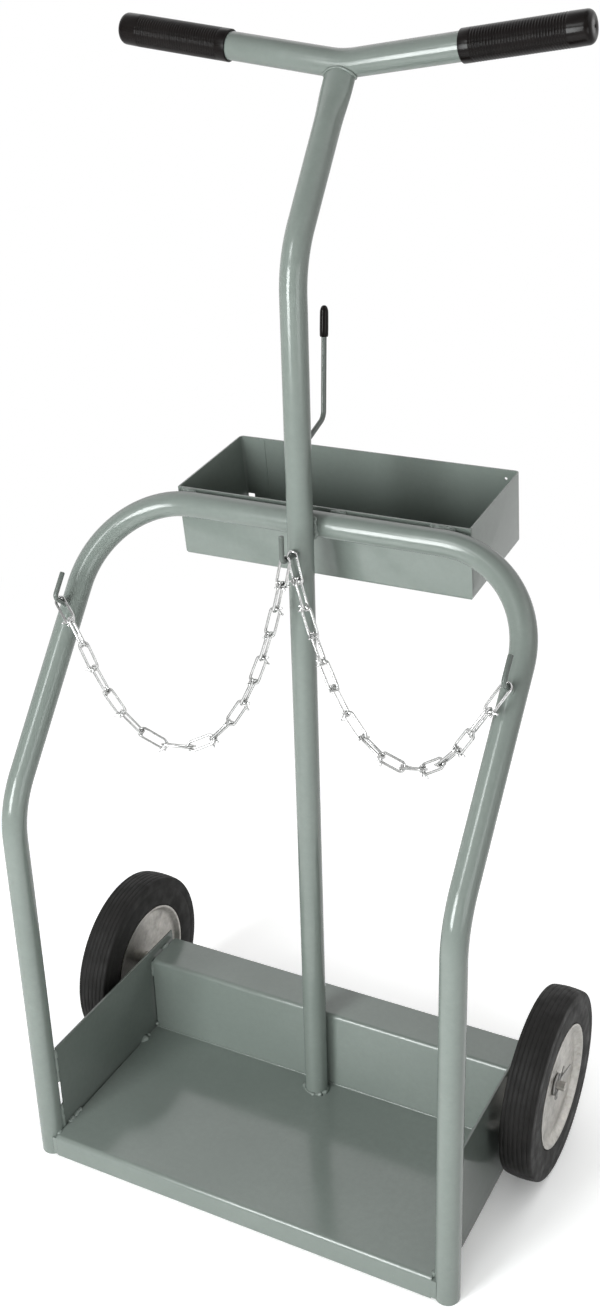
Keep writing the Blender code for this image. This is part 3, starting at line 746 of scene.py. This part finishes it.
def build_base():
    folded_sheet("platform_sheet", PLATFORM_LOW, PLATFORM_HIGH, "platform")
    folded_sheet("rear_step_sheet", STEP_LOW, STEP_HIGH, "rear_step")
    build_step_seam()
    front, back = PLATE_LOW.y, PLATE_HIGH.y
    bottom, top = PLATE_LOW.z, PLATE_HIGH.z
    corners = [
        (front, bottom),
        (back, bottom),
        (back, top),
        (front, top),
        (front, SLOT_HIGH),
        (front + SLOT_DEPTH, SLOT_HIGH),
        (front + SLOT_DEPTH, SLOT_LOW),
        (front, SLOT_LOW),
    ]
    axle = Vector((0, WHEEL_CENTRE.y, WHEEL_CENTRE.z))
    for word, side in SIDES:
        x = side * PLATE_LOW.x
        outline = [Vector((x, y, z)) for y, z in corners]
        hole = circle(axle + RIGHT * x, AXLE_BORE, BACK, UP, 40)[:-1]
        mesh = drawn_out(outline, RIGHT * (side * SHEET), [hole])
        # The side plates take the darker copy of the paint, which is painted shade
        soften(piece(f"{word}_side_plate_sheet", mesh, SHADED_PAINT, [f"{word}_side_plate"]))
        build_lip_fillet(word, side)
        build_base_welds(word, side)


def build_step_seam():
    """A thin filled seam along the foot of the step."""
    y = STEP_LOW.y - 0.0004
    z = PLATFORM_HIGH.z + 0.0006
    points = evenly([(STEP_LOW.x, y, z), (STEP_HIGH.x, y, z)], STEP_SEAM_STEP)
    sizes = [1 + STEP_SEAM_UNEVEN * noise.noise(p * STEP_SEAM_GRAIN) for p in points]
    mesh = rod(points, STEP_SEAM, 12, side_axis=BACK, sizes=sizes)
    piece("step_foot_seam", mesh, PAINT)


def build_lip_fillet(word, side):
    """The ground-down weld that fills the corner between the lip's end and the leg."""
    face = PLATFORM_LOW.y + 0.0003
    low = PLATFORM_LOW.z + 0.0015
    edge = PLATFORM_HIGH.x - 0.0008
    behind = LEG_Y - 0.002
    outline = [Vector((side * edge, behind, low)), Vector((side * edge, face, low))]
    for t in np.linspace(0, 1, 6):
        y = face + 0.0012 * t * t
        leg_side = LEG_X + 0.001 - math.sqrt(TUBE_R ** 2 - (LEG_Y - y) ** 2)
        x = edge + (leg_side - edge) * (0.4 + 0.6 * t)
        outline.append(Vector((side * x, y, low)))
    outline.append(Vector((side * (LEG_X - TUBE_R * 0.9), behind, low)))
    mesh = drawn_out(outline, UP * (PLATFORM_HIGH.z - 0.004 - low), sharp=50)
    soften(piece(f"{word}_lip_fillet", mesh, PAINT), 0.001, 3)


def build_base_welds(word, side):
    """Stitches between a side plate and the leg, the platform and the step."""
    floor = PLATFORM_HIGH.z
    throat_x = side * (PLATE_LOW.x + 0.0012)
    throat_y = PLATE_LOW.y - 0.0016
    edge = side * PLATFORM_HIGH.x
    lip = PLATFORM_LOW.y
    step_x = side * (STEP_HIGH.x + 0.0016)
    step_y = STEP_LOW.y
    top = STEP_HIGH.z
    # Each stitch: its x, the y and z of its two ends, and its radius
    stitches = [
        # Plate and platform, then the corner behind the lip
        (edge, step_y - 0.042, floor - 0.001, step_y - 0.020, floor - 0.001, 0.0056),
        (edge, LEG_Y + 0.017, floor - 0.001, LEG_Y + 0.032, floor - 0.001, 0.0058),
        (edge, LEG_Y + 0.029, floor - 0.001, LEG_Y + 0.048, floor, 0.0050),
        (edge, lip + 0.006, floor - 0.004, lip + 0.014, floor + 0.001, 0.0050),
        # Plate and step: its foot, its front edge and its top
        (step_x - side * 0.002, step_y - 0.001, floor + 0.002, step_y - 0.002, floor + 0.009, 0.0046),
        (step_x, step_y + 0.001, top - 0.030, step_y + 0.003, top - 0.004, 0.0030),
        (step_x, step_y + 0.030, top, step_y + 0.046, top, 0.0026),
        # Plate and leg, under and over the slot
        (throat_x, throat_y, PLATE_LOW.z + 0.003, throat_y, SLOT_LOW, 0.0030),
        (throat_x, throat_y, SLOT_HIGH, throat_y, PLATE_HIGH.z - 0.002, 0.0030),
        # The gap at the end of the step
        (step_x, step_y + 0.006, floor + 0.003, step_y + 0.006, top - 0.020, 0.0021),
    ]
    beads = []
    for x, y0, z0, y1, z1, radius in stitches:
        beads.append(([Vector((x, y0, z0)), Vector((x, y1, z1))], radius, RIGHT))
    welds(f"{word}_base_welds", beads)


# Tray

def applied(obj):
    """The mesh of an object with its modifiers worked in."""
    graph = bpy.context.evaluated_depsgraph_get()
    mesh = bpy.data.meshes.new_from_object(obj.evaluated_get(graph))
    bpy.data.objects.remove(obj, do_unlink=True)
    return mesh


def helper_object(name, mesh):
    made = bpy.data.objects.new(name, mesh)
    bpy.context.scene.collection.objects.link(made)
    return made


def tray_shell():
    """An open box with no thickness yet, whose floor and back corners are folded."""
    bm = bmesh.new()
    bmesh.ops.create_cube(bm, size=1)
    middle = Vector((0, TRAY_DEPTH / 2, -TRAY_HEIGHT / 2))
    size = Vector((2 * TRAY_HALF, TRAY_DEPTH, TRAY_HEIGHT))
    bmesh.ops.transform(bm, verts=bm.verts, matrix=Matrix.LocRotScale(middle, None, size))
    lid = [f for f in bm.faces if f.normal.z > 0.9]
    bmesh.ops.delete(bm, geom=lid, context="FACES_ONLY")

    def upright(e):
        return abs(e.verts[0].co.z - e.verts[1].co.z) > TRAY_HEIGHT / 2

    folds = [e for e in bm.edges if upright(e) and e.verts[0].co.y > TRAY_DEPTH / 2]
    bmesh.ops.bevel(bm, geom=folds, offset=TRAY_FOLD, segments=6, profile=0.5, affect="EDGES")
    foot = [e for e in bm.edges if all(v.co.z < -TRAY_HEIGHT * 0.9 for v in e.verts)]
    bmesh.ops.bevel(bm, geom=foot, offset=TRAY_FLOOR_FOLD, segments=4, profile=0.5, affect="EDGES")
    return mesh_from(bm)


def tray_cutters():
    """What is cut out of the shell on each side: the back corner's relief, a hole and the front seam."""
    behind = TRAY_DEPTH + TRAY_SHEET
    under = -TRAY_HEIGHT - TRAY_SHEET
    made = []
    for side in (-1, 1):
        x = side * (TRAY_HALF - TRAY_FOLD / 2 - TRAY_RELIEF / 2)
        middle = Vector((x, behind - TRAY_RELIEF / 2, under))
        ways = ((-1, -1), (1, -1), (1, 1), (-1, 1))
        square = [middle + Vector((a, b, 0)) * (TRAY_RELIEF / 2) for a, b in ways]
        made.append(drawn_out(square, UP * (TRAY_RELIEF + 2 * TRAY_SHEET)))
        x = side * (TRAY_HALF - TRAY_FOLD - TRAY_HOLE_INSET)
        ring = circle(Vector((x, behind, -TRAY_HOLE_INSET)), TRAY_HOLE / 2, RIGHT, UP, 24)[:-1]
        made.append(drawn_out(ring, BACK * (-4 * TRAY_SHEET)))
        corner = Vector((side * (TRAY_HALF - TRAY_SHEET), TRAY_SHEET, CUT_PAST))
        wide = RIGHT * (side * 2 * TRAY_SHEET)
        deep = BACK * TRAY_SEAM
        slit = [corner, corner + wide, corner + wide + deep, corner + deep]
        made.append(drawn_out(slit, UP * -(TRAY_SEAM_LENGTH + CUT_PAST)))
    return made


def build_tray():
    where = Matrix.Translation(TRAY_PLACE) @ Matrix.Rotation(TRAY_TILT, 4, "X")
    shell = helper_object("tray_shell", tray_shell())
    walls = shell.modifiers.new("walls", "SOLIDIFY")
    walls.thickness = TRAY_SHEET
    walls.offset = -1
    walls.use_even_offset = True
    tools = [helper_object("cutter", mesh) for mesh in tray_cutters()]
    for tool in tools:
        cut = shell.modifiers.new("cut", "BOOLEAN")
        cut.operation = "DIFFERENCE"
        cut.solver = "EXACT"
        cut.object = tool
    mesh = applied(shell)
    for tool in tools:
        bpy.data.objects.remove(tool, do_unlink=True)
    mesh.shade_smooth()
    mesh.set_sharp_from_angle(angle=math.radians(28))
    soften(piece("tool_tray_sheet", mesh, PAINT, ["tool_tray"], matrix=where), 0.0004)
    build_flap(where)
    crevice = Vector((0, BAR_Y + TUBE_R * TRAY_CREVICE, BAR_Z + TUBE_R * TRAY_CREVICE))
    beads = []
    for x0, x1 in TRAY_BEADS:
        beads.append(([crevice + RIGHT * x0, crevice + RIGHT * x1], TRAY_BEAD, BACK))
    welds("tray_welds", beads)


def build_flap(where):
    """The flap of the left end that lies against the inside of the back."""
    y = TRAY_DEPTH - TRAY_SHEET
    x0 = -TRAY_HALF + TRAY_FOLD + FLAP_GAP
    x1 = -TRAY_HALF + FLAP_WIDTH
    z0 = -TRAY_HEIGHT + TRAY_SHEET + FLAP_FOOT
    corners = [(x0, z0), (x1, z0), (x1, -FLAP_DROP), (x0, -FLAP_DROP)]
    outline = [Vector((x, y, z)) for x, z in corners]
    mesh = drawn_out(outline, BACK * -FLAP_SHEET)
    soften(piece("tray_flap", mesh, PAINT, matrix=where), 0.0003)


# Hooks

def hook_path(foot, out, up, reach):
    """A hook that leaves a tube square to it and turns up along it. foot is on the tube's axis."""
    elbow = foot + out * (TUBE_R + reach)
    return rounded([foot + out * (TUBE_R - 0.0004), elbow, elbow + up * HOOK_RISE], ROD_BEND, steps=12)


def build_rod(name, path, stands_for):
    """A painted rod whose far end is rounded."""
    points, sizes = round_ends(path, ROD_R, ROD_R * 0.45, first=False)
    mesh = rod(points, ROD_R, ROD_SIDES, sizes=sizes)
    # The rods take the uniformly darker copy of the paint
    piece(name, mesh, DARKER_PAINT, [stands_for])


def foot_ring(centre, out, up):
    """The path of a bead round the foot of a rod that stands on a tube."""
    return circle(centre, ROD_R + ROD_BEAD_OUT, up, out.cross(up), 30)


def build_hooks():
    """The chain hooks and the hose hook. Their welds are one piece."""
    beads = []
    for word, side in SIDES:
        foot = Vector((side * LEG_X, LEG_Y, KINK_HEIGHT)) + LEG_UP * LEG_HOOK_ALONG
        path = hook_path(foot, LEG_OUT, LEG_UP, LEG_HOOK_REACH)
        build_rod(f"{word}_chain_hook_rod", path, f"{word}_chain_hook")
        centre = foot + LEG_OUT * (TUBE_R - 0.0002)
        beads.append((foot_ring(centre, LEG_OUT, LEG_UP), ROD_BEAD, LEG_OUT))
        dab = [centre + LEG_UP * 0.004 - RIGHT * 0.004, centre + LEG_UP * 0.006 + RIGHT * 0.003]
        beads.append((dab, HOOK_DAB, LEG_OUT))
    foot = Vector((0, MAST_Y, MAST_HOOK_HEIGHT))
    build_rod("mast_chain_hook_rod", hook_path(foot, -BACK, UP, MAST_HOOK_REACH), "mast_chain_hook")
    centre = foot - BACK * (TUBE_R - 0.0002)
    beads.append((foot_ring(centre, -BACK, UP), MAST_BEAD, BACK))

    start_y = MAST_Y + TUBE_R + WELD_GAP + ROD_R * math.sin(HOSE_CLIMB)
    foot = Vector((0, start_y, BAR_Z + HOSE_FOOT_RISE))
    climb = Vector((0, math.cos(HOSE_CLIMB), math.sin(HOSE_CLIMB)))
    turn = foot + climb * (HOSE_REACH / math.cos(HOSE_CLIMB))
    upright = Vector((0, math.sin(HOSE_LEAN), math.cos(HOSE_LEAN)))
    top = turn + upright * ((foot.z + HOSE_HEIGHT - turn.z) / upright.z)
    path = rounded([foot - climb * 0.0012, turn, top], HOSE_BEND, steps=14)
    build_rod("hose_hook_rod", path, "hose_hook")
    beads.append((foot_ring(foot - climb * 0.0006, climb, climb.cross(RIGHT)), ROD_BEAD, climb))
    welds("hook_welds", beads)
    build_hose_tip(top, upright)


def build_hose_tip(top, upright):
    """A vinyl cap with a long domed end, pushed on to the top of the hose hook."""
    bore = ROD_R + WELD_GAP
    outer = bore + TIP_WALL
    end = WELD_GAP + TIP_WALL
    low = end - TIP_LENGTH
    shares = ((0, 0.90), (0.0012, 0.97), (0.008, 1.0), (0.022, 0.985))
    body = [(low + rise, outer * share) for rise, share in shares]
    dome = []
    for a in np.linspace(0, 1.5, 10):
        dome.append((end - TIP_DOME * (1 - math.sin(a)), outer * 0.97 * math.cos(a) ** 0.8))
    profile = [(end, 0)] + dome[::-1] + body[::-1] + [(low, bore), (WELD_GAP, bore), (WELD_GAP, 0)]
    mesh = turned(profile, 32, closed=False, sharp=55)
    where = Matrix.Translation(top) @ RIGHT.rotation_difference(upright).to_matrix().to_4x4()
    piece("hose_hook_tip_cap", mesh, VINYL, ["hose_hook_tip"], matrix=where)


def build_crossing_weld():
    """Blobs between the mast and the bar that passes behind it."""
    y = MAST_Y + TUBE_R * 0.93
    # Each run: the share of x, the shift back and the rise of its two ends, and its radius
    runs = [
        ((1.0, 0.0, -0.013), (1.0, 0.0, 0.014), 0.0030),
        ((1.15, 0.0, -0.009), (1.12, 0.0, -0.001), 0.0034),
        ((1.05, -0.001, 0.006), (1.0, 0.0, 0.016), 0.0032),
    ]
    beads = []
    for side in (-1, 1):
        x = side * TUBE_R * 0.76
        for first, last, radius in runs:
            ends = [Vector((x * share, y + back, BAR_Z + rise)) for share, back, rise in (first, last)]
            beads.append((ends, radius, RIGHT))
    welds("crossing_weld", beads)


# Wheels

def disc_face():
    """The outer side of a pressed disc, from bore to edge: a shallow cone, a steep wall and a flange."""
    bore = HUB_R + RUNNING_GAP
    seat = RIM_R - RIM_SEAT
    hub_x = RIM_HALF_WIDTH - DISC_DISH
    cone = [(hub_x + DISC_CONE * t * t, bore + (seat - bore) * t, 0) for t in np.linspace(0, 0.9, 10)]
    corners = [cone[-1], (hub_x + DISC_CONE, seat, 0), (RIM_HALF_WIDTH, RIM_R - RIM_FLANGE, 0)]
    corners.append((RIM_HALF_WIDTH, RIM_R, 0))
    wall = rounded(corners, DISC_CORNERS, steps=8)
    return [(x, r) for x, r, _ in cone[:-1]] + [(p.x, p.y) for p in wall]


def disc_profile():
    """A disc's section: its outer side, and the same line a sheet further in."""
    face = disc_face()
    return face + [(x - DISC_SHEET, r) for x, r in reversed(face)]


def tyre_profile():
    """The tyre's section: a base between the discs, full sides with a moulded line and a grooved crown."""
    edge = RIM_R + RUNNING_GAP
    tall = WHEEL_R - edge
    shoulder = TYRE_HALF * TYRE_SHOULDER
    inset = DISC_SHEET + RUNNING_GAP
    plain = [
        (RIM_HALF_WIDTH - DISC_DISH + DISC_CONE, RIM_R - RIM_SEAT),
        (RIM_HALF_WIDTH, RIM_R - RIM_FLANGE),
        (RIM_HALF_WIDTH, RIM_R),
    ]
    base = [(x - inset, r + RUNNING_GAP) for x, r in plain]
    side = []
    for t in np.linspace(0, 0.6, 9):
        share = 0.955 + 0.045 * math.sin(math.pi * t)
        side.append((TYRE_HALF * share, edge + tall * (0.03 + 0.72 * t)))
    line = edge + tall * 0.60
    side += [
        (TYRE_HALF * 0.995, line),
        (TYRE_HALF * 0.995 - SHOULDER_LINE, line + 0.0012),
        (TYRE_HALF * 0.993 - SHOULDER_LINE, line + 0.0026),
        (TYRE_HALF * 0.990, line + 0.0040),
        (TYRE_HALF * 0.985, edge + tall * 0.80),
    ]
    corner_r = TYRE_HALF - shoulder + 0.0008
    crown = WHEEL_R - TREAD_CROWN
    for a in np.linspace(0.15, math.pi / 2, 7):
        x = shoulder - 0.001 + corner_r * math.cos(a) * 0.95
        side.append((x, crown - corner_r * (1 - math.sin(a))))
    tread = []
    for k in range(TREAD_GROOVES):
        x = shoulder * TREAD_SPAN * (1 - 2 * k / (TREAD_GROOVES - 1))
        for t in np.linspace(0.5, -0.5, 9):
            place = x + t * TREAD_GROOVE
            dip = TREAD_DEPTH * (0.5 + 0.5 * math.cos(2 * math.pi * t))
            tread.append((place, WHEEL_R - TREAD_CROWN * (place / shoulder) ** 2 - dip))
    return base + side + tread + [(-x, r) for x, r in reversed(base + side)]


def ring_profile(x0, x1, bore, outer, edge):
    """A ring's section with its outer corners eased."""
    near = [(x0, bore), (x0, outer - edge), (x0 + edge, outer)]
    far = [(x1 - edge, outer), (x1, outer - edge), (x1, bore)]
    return near + far


def pin_mesh(pin_x):
    """A split pin: one wire doubled back on itself round an eye, its longer tail bent outwards."""
    along = Vector((0, math.cos(PIN_ANGLE), math.sin(PIN_ANGLE)))
    across = Vector((0, -math.sin(PIN_ANGLE), math.cos(PIN_ANGLE)))
    half = PIN_WIRE / 4
    tail = AXLE_R + 0.003
    neck = PIN_EYE - PIN_NECK

    def spot(length, width, outward=0.0):
        return RIGHT * (pin_x + outward) + along * length + across * width

    eye = spot(-PIN_NECK - PIN_EYE * 0.6, 0)
    points = [spot(PIN_TAIL, -PIN_SPREAD, PIN_BEND), spot(tail, half), spot(neck, half)]
    points += circle(eye, PIN_EYE, along, across, 18, math.radians(40), math.radians(280))
    points += [spot(neck, -half), spot(tail, -half), spot(PIN_TAIL * 0.86, -half - PIN_SPREAD * 0.8)]
    points, sizes = round_ends(points, half * 1.15, half * 0.6)
    sizes = [(1.45 * s, s) for s in sizes]
    return rod(points, half * 1.1, 10, sizes=sizes)


def build_wheels():
    """Each wheel is drawn with +X pointing outwards, then set at the middle of its hub."""
    hub_out = RIM_HALF_WIDTH - DISC_DISH + HUB_NOSE
    hub_in = PLATE_HIGH.x + RUNNING_GAP - WHEEL_CENTRE.x
    washer_in = hub_out + RUNNING_GAP
    washer_out = washer_in + WASHER_THICKNESS
    pin_x = washer_out + RUNNING_GAP + PIN_WIRE / 2
    bore = AXLE_R + RUNNING_GAP
    hub = ring_profile(hub_in, hub_out, bore, HUB_R, HUB_EDGE)
    washer = ring_profile(washer_in, washer_out, bore, WASHER_R, WASHER_EDGE)
    flip = Matrix.Rotation(math.pi, 4, "Y")
    for word, side in SIDES:
        centre = Matrix.Translation((side * WHEEL_CENTRE.x, WHEEL_CENTRE.y, WHEEL_CENTRE.z))
        where = centre if side > 0 else centre @ Matrix.Rotation(math.pi, 4, "Z")
        body = f"{word}_wheel"
        mesh = turned(tyre_profile(), WHEEL_STEPS)
        piece(f"{word}_tyre_rubber", mesh, RUBBER, [f"{word}_tyre"], body, where)
        for face, turn in (("outer", Matrix.Identity(4)), ("inner", flip)):
            mesh = turned(disc_profile(), WHEEL_STEPS, sharp=60)
            node_name = f"{word}_{face}_disc"
            piece(f"{node_name}_pressing", mesh, ZINC, [node_name], body, where @ turn)
        piece(f"{word}_hub_tube", turned(hub, 48), ZINC, [f"{word}_hub"], body, where)
        mesh = turned(washer, 48)
        piece(f"{word}_axle_washer_ring", mesh, STEEL, [f"{word}_axle_washer"], "frame", where)
        piece(f"{word}_cotter_pin_wire", pin_mesh(pin_x), STEEL, [f"{word}_cotter_pin"], "frame", where)
    ends = [Vector((x, WHEEL_CENTRE.y, WHEEL_CENTRE.z)) for x in (AXLE_LOW.x, AXLE_HIGH.x)]
    points, sizes = round_ends(ends, AXLE_R, AXLE_CHAMFER)
    mesh = rod(points, AXLE_R, 40, side_axis=BACK, sizes=sizes)
    piece("axle_rod", mesh, ZINC, ["axle"])


# Chains

def link_mesh():
    """A wire link in its own XY plane, its length along X, its two wire ends wound round the +X end."""
    straight = LINK_LENGTH / 2 - LINK_HALF_WIDTH
    path = []
    for side in (1, -1):
        for i in range(13):
            angle = math.pi * (i / 12 - 0.5)
            x = straight + LINK_HALF_WIDTH * math.cos(angle)
            path.append(Vector((x, LINK_HALF_WIDTH * math.sin(angle), 0)) * side)
    bm = bmesh.new()
    sweep(bm, path, LINK_WIRE_R, 12, UP, loop=True)
    for turn, first, last, lean in ((1, -80, 30, 0.6), (-1, -50, 72, 0.25)):
        strand = []
        for t in np.linspace(0, 1, 9):
            angle = math.radians(first + (last - first) * t)
            wind = math.radians(turn * (125 - 110 * t))
            outward = Vector((math.cos(angle), math.sin(angle), 0))
            across = outward * math.cos(wind) + UP * math.sin(wind)
            bow = RIGHT * straight + outward * LINK_HALF_WIDTH
            strand.append(bow + across * (LINK_WIRE_R + KNOT_WIRE_R))
        tip = (outward + Vector((-outward.y, outward.x, 0)) * lean + UP * (0.15 * turn)).normalized()
        strand += [strand[-1] + tip * (KNOT_TIP * t) for t in (0.3, 0.65, 1.0)]
        points, sizes = round_ends(strand, KNOT_WIRE_R, KNOT_WIRE_R * 0.5, steps=3)
        sweep(bm, points, KNOT_WIRE_R, 10, UP, sizes)
    return mesh_from(bm, sharp=60)


def link_axes(name):
    """A packed link's middle, and the directions of its length and its width."""
    corners = np.unique(np.round([v.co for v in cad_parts[name].data.vertices], 6), axis=0)
    middle = corners.mean(axis=0)
    ways = np.linalg.svd(corners - middle, full_matrices=False)[2]
    return Vector(middle), Vector(ways[0]), Vector(ways[1])


def build_chains():
    """A wire link in the place of each packed one, its wound end towards its neighbour."""
    for word, _ in SIDES:
        names = sorted(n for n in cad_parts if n.startswith(f"{word}_chain_link_"))
        found = [link_axes(n) for n in names]
        for i, name in enumerate(names):
            middle, along, width = found[i]
            ahead = found[i + 1][0] - middle if i + 1 < len(names) else found[i - 1][0] - middle
            if along.dot(ahead) < 0:
                along = -along
            if width.z + 0.3 * width.y > 0:
                width = -width
            facing = along.cross(width)
            where = Matrix((along, width, facing)).transposed().to_4x4()
            where.translation = middle
            wire = name.replace("_link_", "_wire_")
            piece(wire, link_mesh(), BRIGHT, [name], f"{word}_chain", where)


# Floor, light and camera

def build_floor():
    """A pale floor with the cart's shadow, plus painted shade where occlusion near the cart dims its white
    lift. Far off it is white, and in reflections a little greyer.
    """
    bm = bmesh.new()
    bmesh.ops.create_circle(bm, cap_ends=True, segments=96, radius=FLOOR_RADIUS)
    mesh = bpy.data.meshes.new("floor")
    bm.to_mesh(mesh)
    bm.free()
    floor = bpy.data.objects.new("floor", mesh)
    floor.location.z = ARCH_LOW.z - FLOOR_DROP
    bpy.context.scene.collection.objects.link(floor)
    made = bpy.data.materials.new("pale_floor")
    made.use_nodes = True
    tree = made.node_tree
    tree.nodes.clear()
    place = node(tree, "TexCoord").outputs["Object"]
    far = node(tree, "VectorMath", {0: place}, operation="LENGTH").outputs["Value"]
    ends = {"Value": far, "From Min": FLOOR_NEAR, "From Max": FLOOR_FAR}
    far = node(tree, "MapRange", ends, interpolation_type="SMOOTHSTEP").outputs["Result"]
    grain = spread(tree, noise_at(tree, place, 60.0, 3.0), 0.3, 0.7, FLOOR_TONE - 0.01, FLOOR_TONE + 0.01)
    tone = node(tree, "CombineColor", {"Red": grain, "Green": grain, "Blue": grain}).outputs["Color"]
    diffuse = node(tree, "BsdfDiffuse", {"Color": tone}).outputs["BSDF"]
    path = node(tree, "LightPath").outputs
    shown = seen(tree, path)
    # Painted shade: occlusion near the cart dims the floor's white lift, a painted contact shadow that also
    # shows in reflections
    clear = node(tree, "AmbientOcclusion", {"Distance": FLOOR_SHADE_REACH}, samples=12).outputs["AO"]
    level = spread(tree, path["Is Glossy Ray"], 0.0, 1.0, 1.0, FLOOR_MIRRORED)
    lift = calc(tree, "MULTIPLY", calc(tree, "MULTIPLY", shown, clear), level)
    lift = calc(tree, "MULTIPLY", lift, FLOOR_LIFT)
    near = node(tree, "Emission", {"Strength": lift}).outputs["Emission"]
    near = node(tree, "AddShader", {0: diffuse, 1: near}).outputs[0]
    away = node(tree, "Emission", {"Strength": level}).outputs["Emission"]
    blend = calc(tree, "MULTIPLY", far, shown)
    both = node(tree, "MixShader", {"Fac": blend, 1: near, 2: away}).outputs[0]
    node(tree, "OutputMaterial", {"Surface": both})
    mesh.materials.append(made)


def build_world():
    """A white studio. In reflections its front and ceiling are dim, and a band high up is brightest."""
    world = bpy.data.worlds.new("studio")
    bpy.context.scene.world = world
    world.use_nodes = True
    tree = world.node_tree
    back = tree.nodes["Background"]
    way = node(tree, "TexCoord").outputs["Generated"]
    parts = node(tree, "SeparateXYZ", {"Vector": way}).outputs
    path = node(tree, "LightPath").outputs
    front = spread(tree, parts["Y"], *FRONT_SPAN, FRONT_LEVEL, 1.0)
    panel = spread(tree, parts["Z"], *PANEL_SPAN, 1.0, PANEL_LEVEL)
    ceiling = spread(tree, parts["Z"], *CEILING_SPAN, 1.0, CEILING_LEVEL)
    room = calc(tree, "MULTIPLY", calc(tree, "MULTIPLY", front, panel), ceiling)
    shown_level = node(tree, "Mix", {0: path["Is Glossy Ray"], 2: 1.0, 3: room}).outputs[0]
    lit_level = spread(tree, parts["Z"], *FILL_SPAN, FILL_LOW, FILL_HIGH)
    shown = seen(tree, path)
    strength = node(tree, "Mix", {0: shown, 2: lit_level, 3: shown_level}).outputs[0]
    tree.links.new(mixed(tree, shown, FILL_TONE, (1, 1, 1, 1)), back.inputs["Color"])
    tree.links.new(strength, back.inputs["Strength"])


def build_lamps():
    """Soft boxes. The glint shows in reflections alone, and the soft and back ones in none."""
    for name, given in LAMPS.items():
        data = bpy.data.lights.new(name, "AREA")
        data.shape = "RECTANGLE"
        data.size, data.size_y = given["size"]
        data.energy = given["power"]
        data.color = LAMP_TONE
        lamp = bpy.data.objects.new(name, data)
        lamp.location = given["place"]
        lamp.rotation_mode = "QUATERNION"
        lamp.rotation_quaternion = (LAMP_AIM - given["place"]).to_track_quat("-Z", "Y")
        lamp.visible_camera = False
        lamp.visible_glossy = given.get("mirrored", True)
        lamp.visible_diffuse = given.get("lights", True)
        bpy.context.scene.collection.objects.link(lamp)


def build_camera():
    ahead = Vector((
        -math.sin(CAMERA_TURN) * math.cos(CAMERA_DIP),
        math.cos(CAMERA_TURN) * math.cos(CAMERA_DIP),
        -math.sin(CAMERA_DIP),
    ))
    level = Vector((math.cos(CAMERA_TURN), math.sin(CAMERA_TURN), 0))
    down = ahead.cross(level)
    right = level * math.cos(CAMERA_ROLL) + down * math.sin(CAMERA_ROLL)
    under = down * math.cos(CAMERA_ROLL) - level * math.sin(CAMERA_ROLL)
    data = bpy.data.cameras.new("camera")
    data.sensor_fit = "AUTO"
    data.sensor_width = SENSOR
    data.lens = LENS
    camera = bpy.data.objects.new("camera", data)
    where = Matrix((right, -under, -ahead)).transposed().to_4x4()
    where.translation = CAMERA_PLACE
    camera.matrix_world = where
    bpy.context.scene.collection.objects.link(camera)
    bpy.context.scene.camera = camera


build_arch()
build_mast()
build_grips()
build_base()
build_tray()
build_hooks()
build_crossing_weld()
build_wheels()
build_chains()
build_floor()
build_world()
build_lamps()
build_camera()
bpy.context.scene.view_settings.view_transform = "Standard"
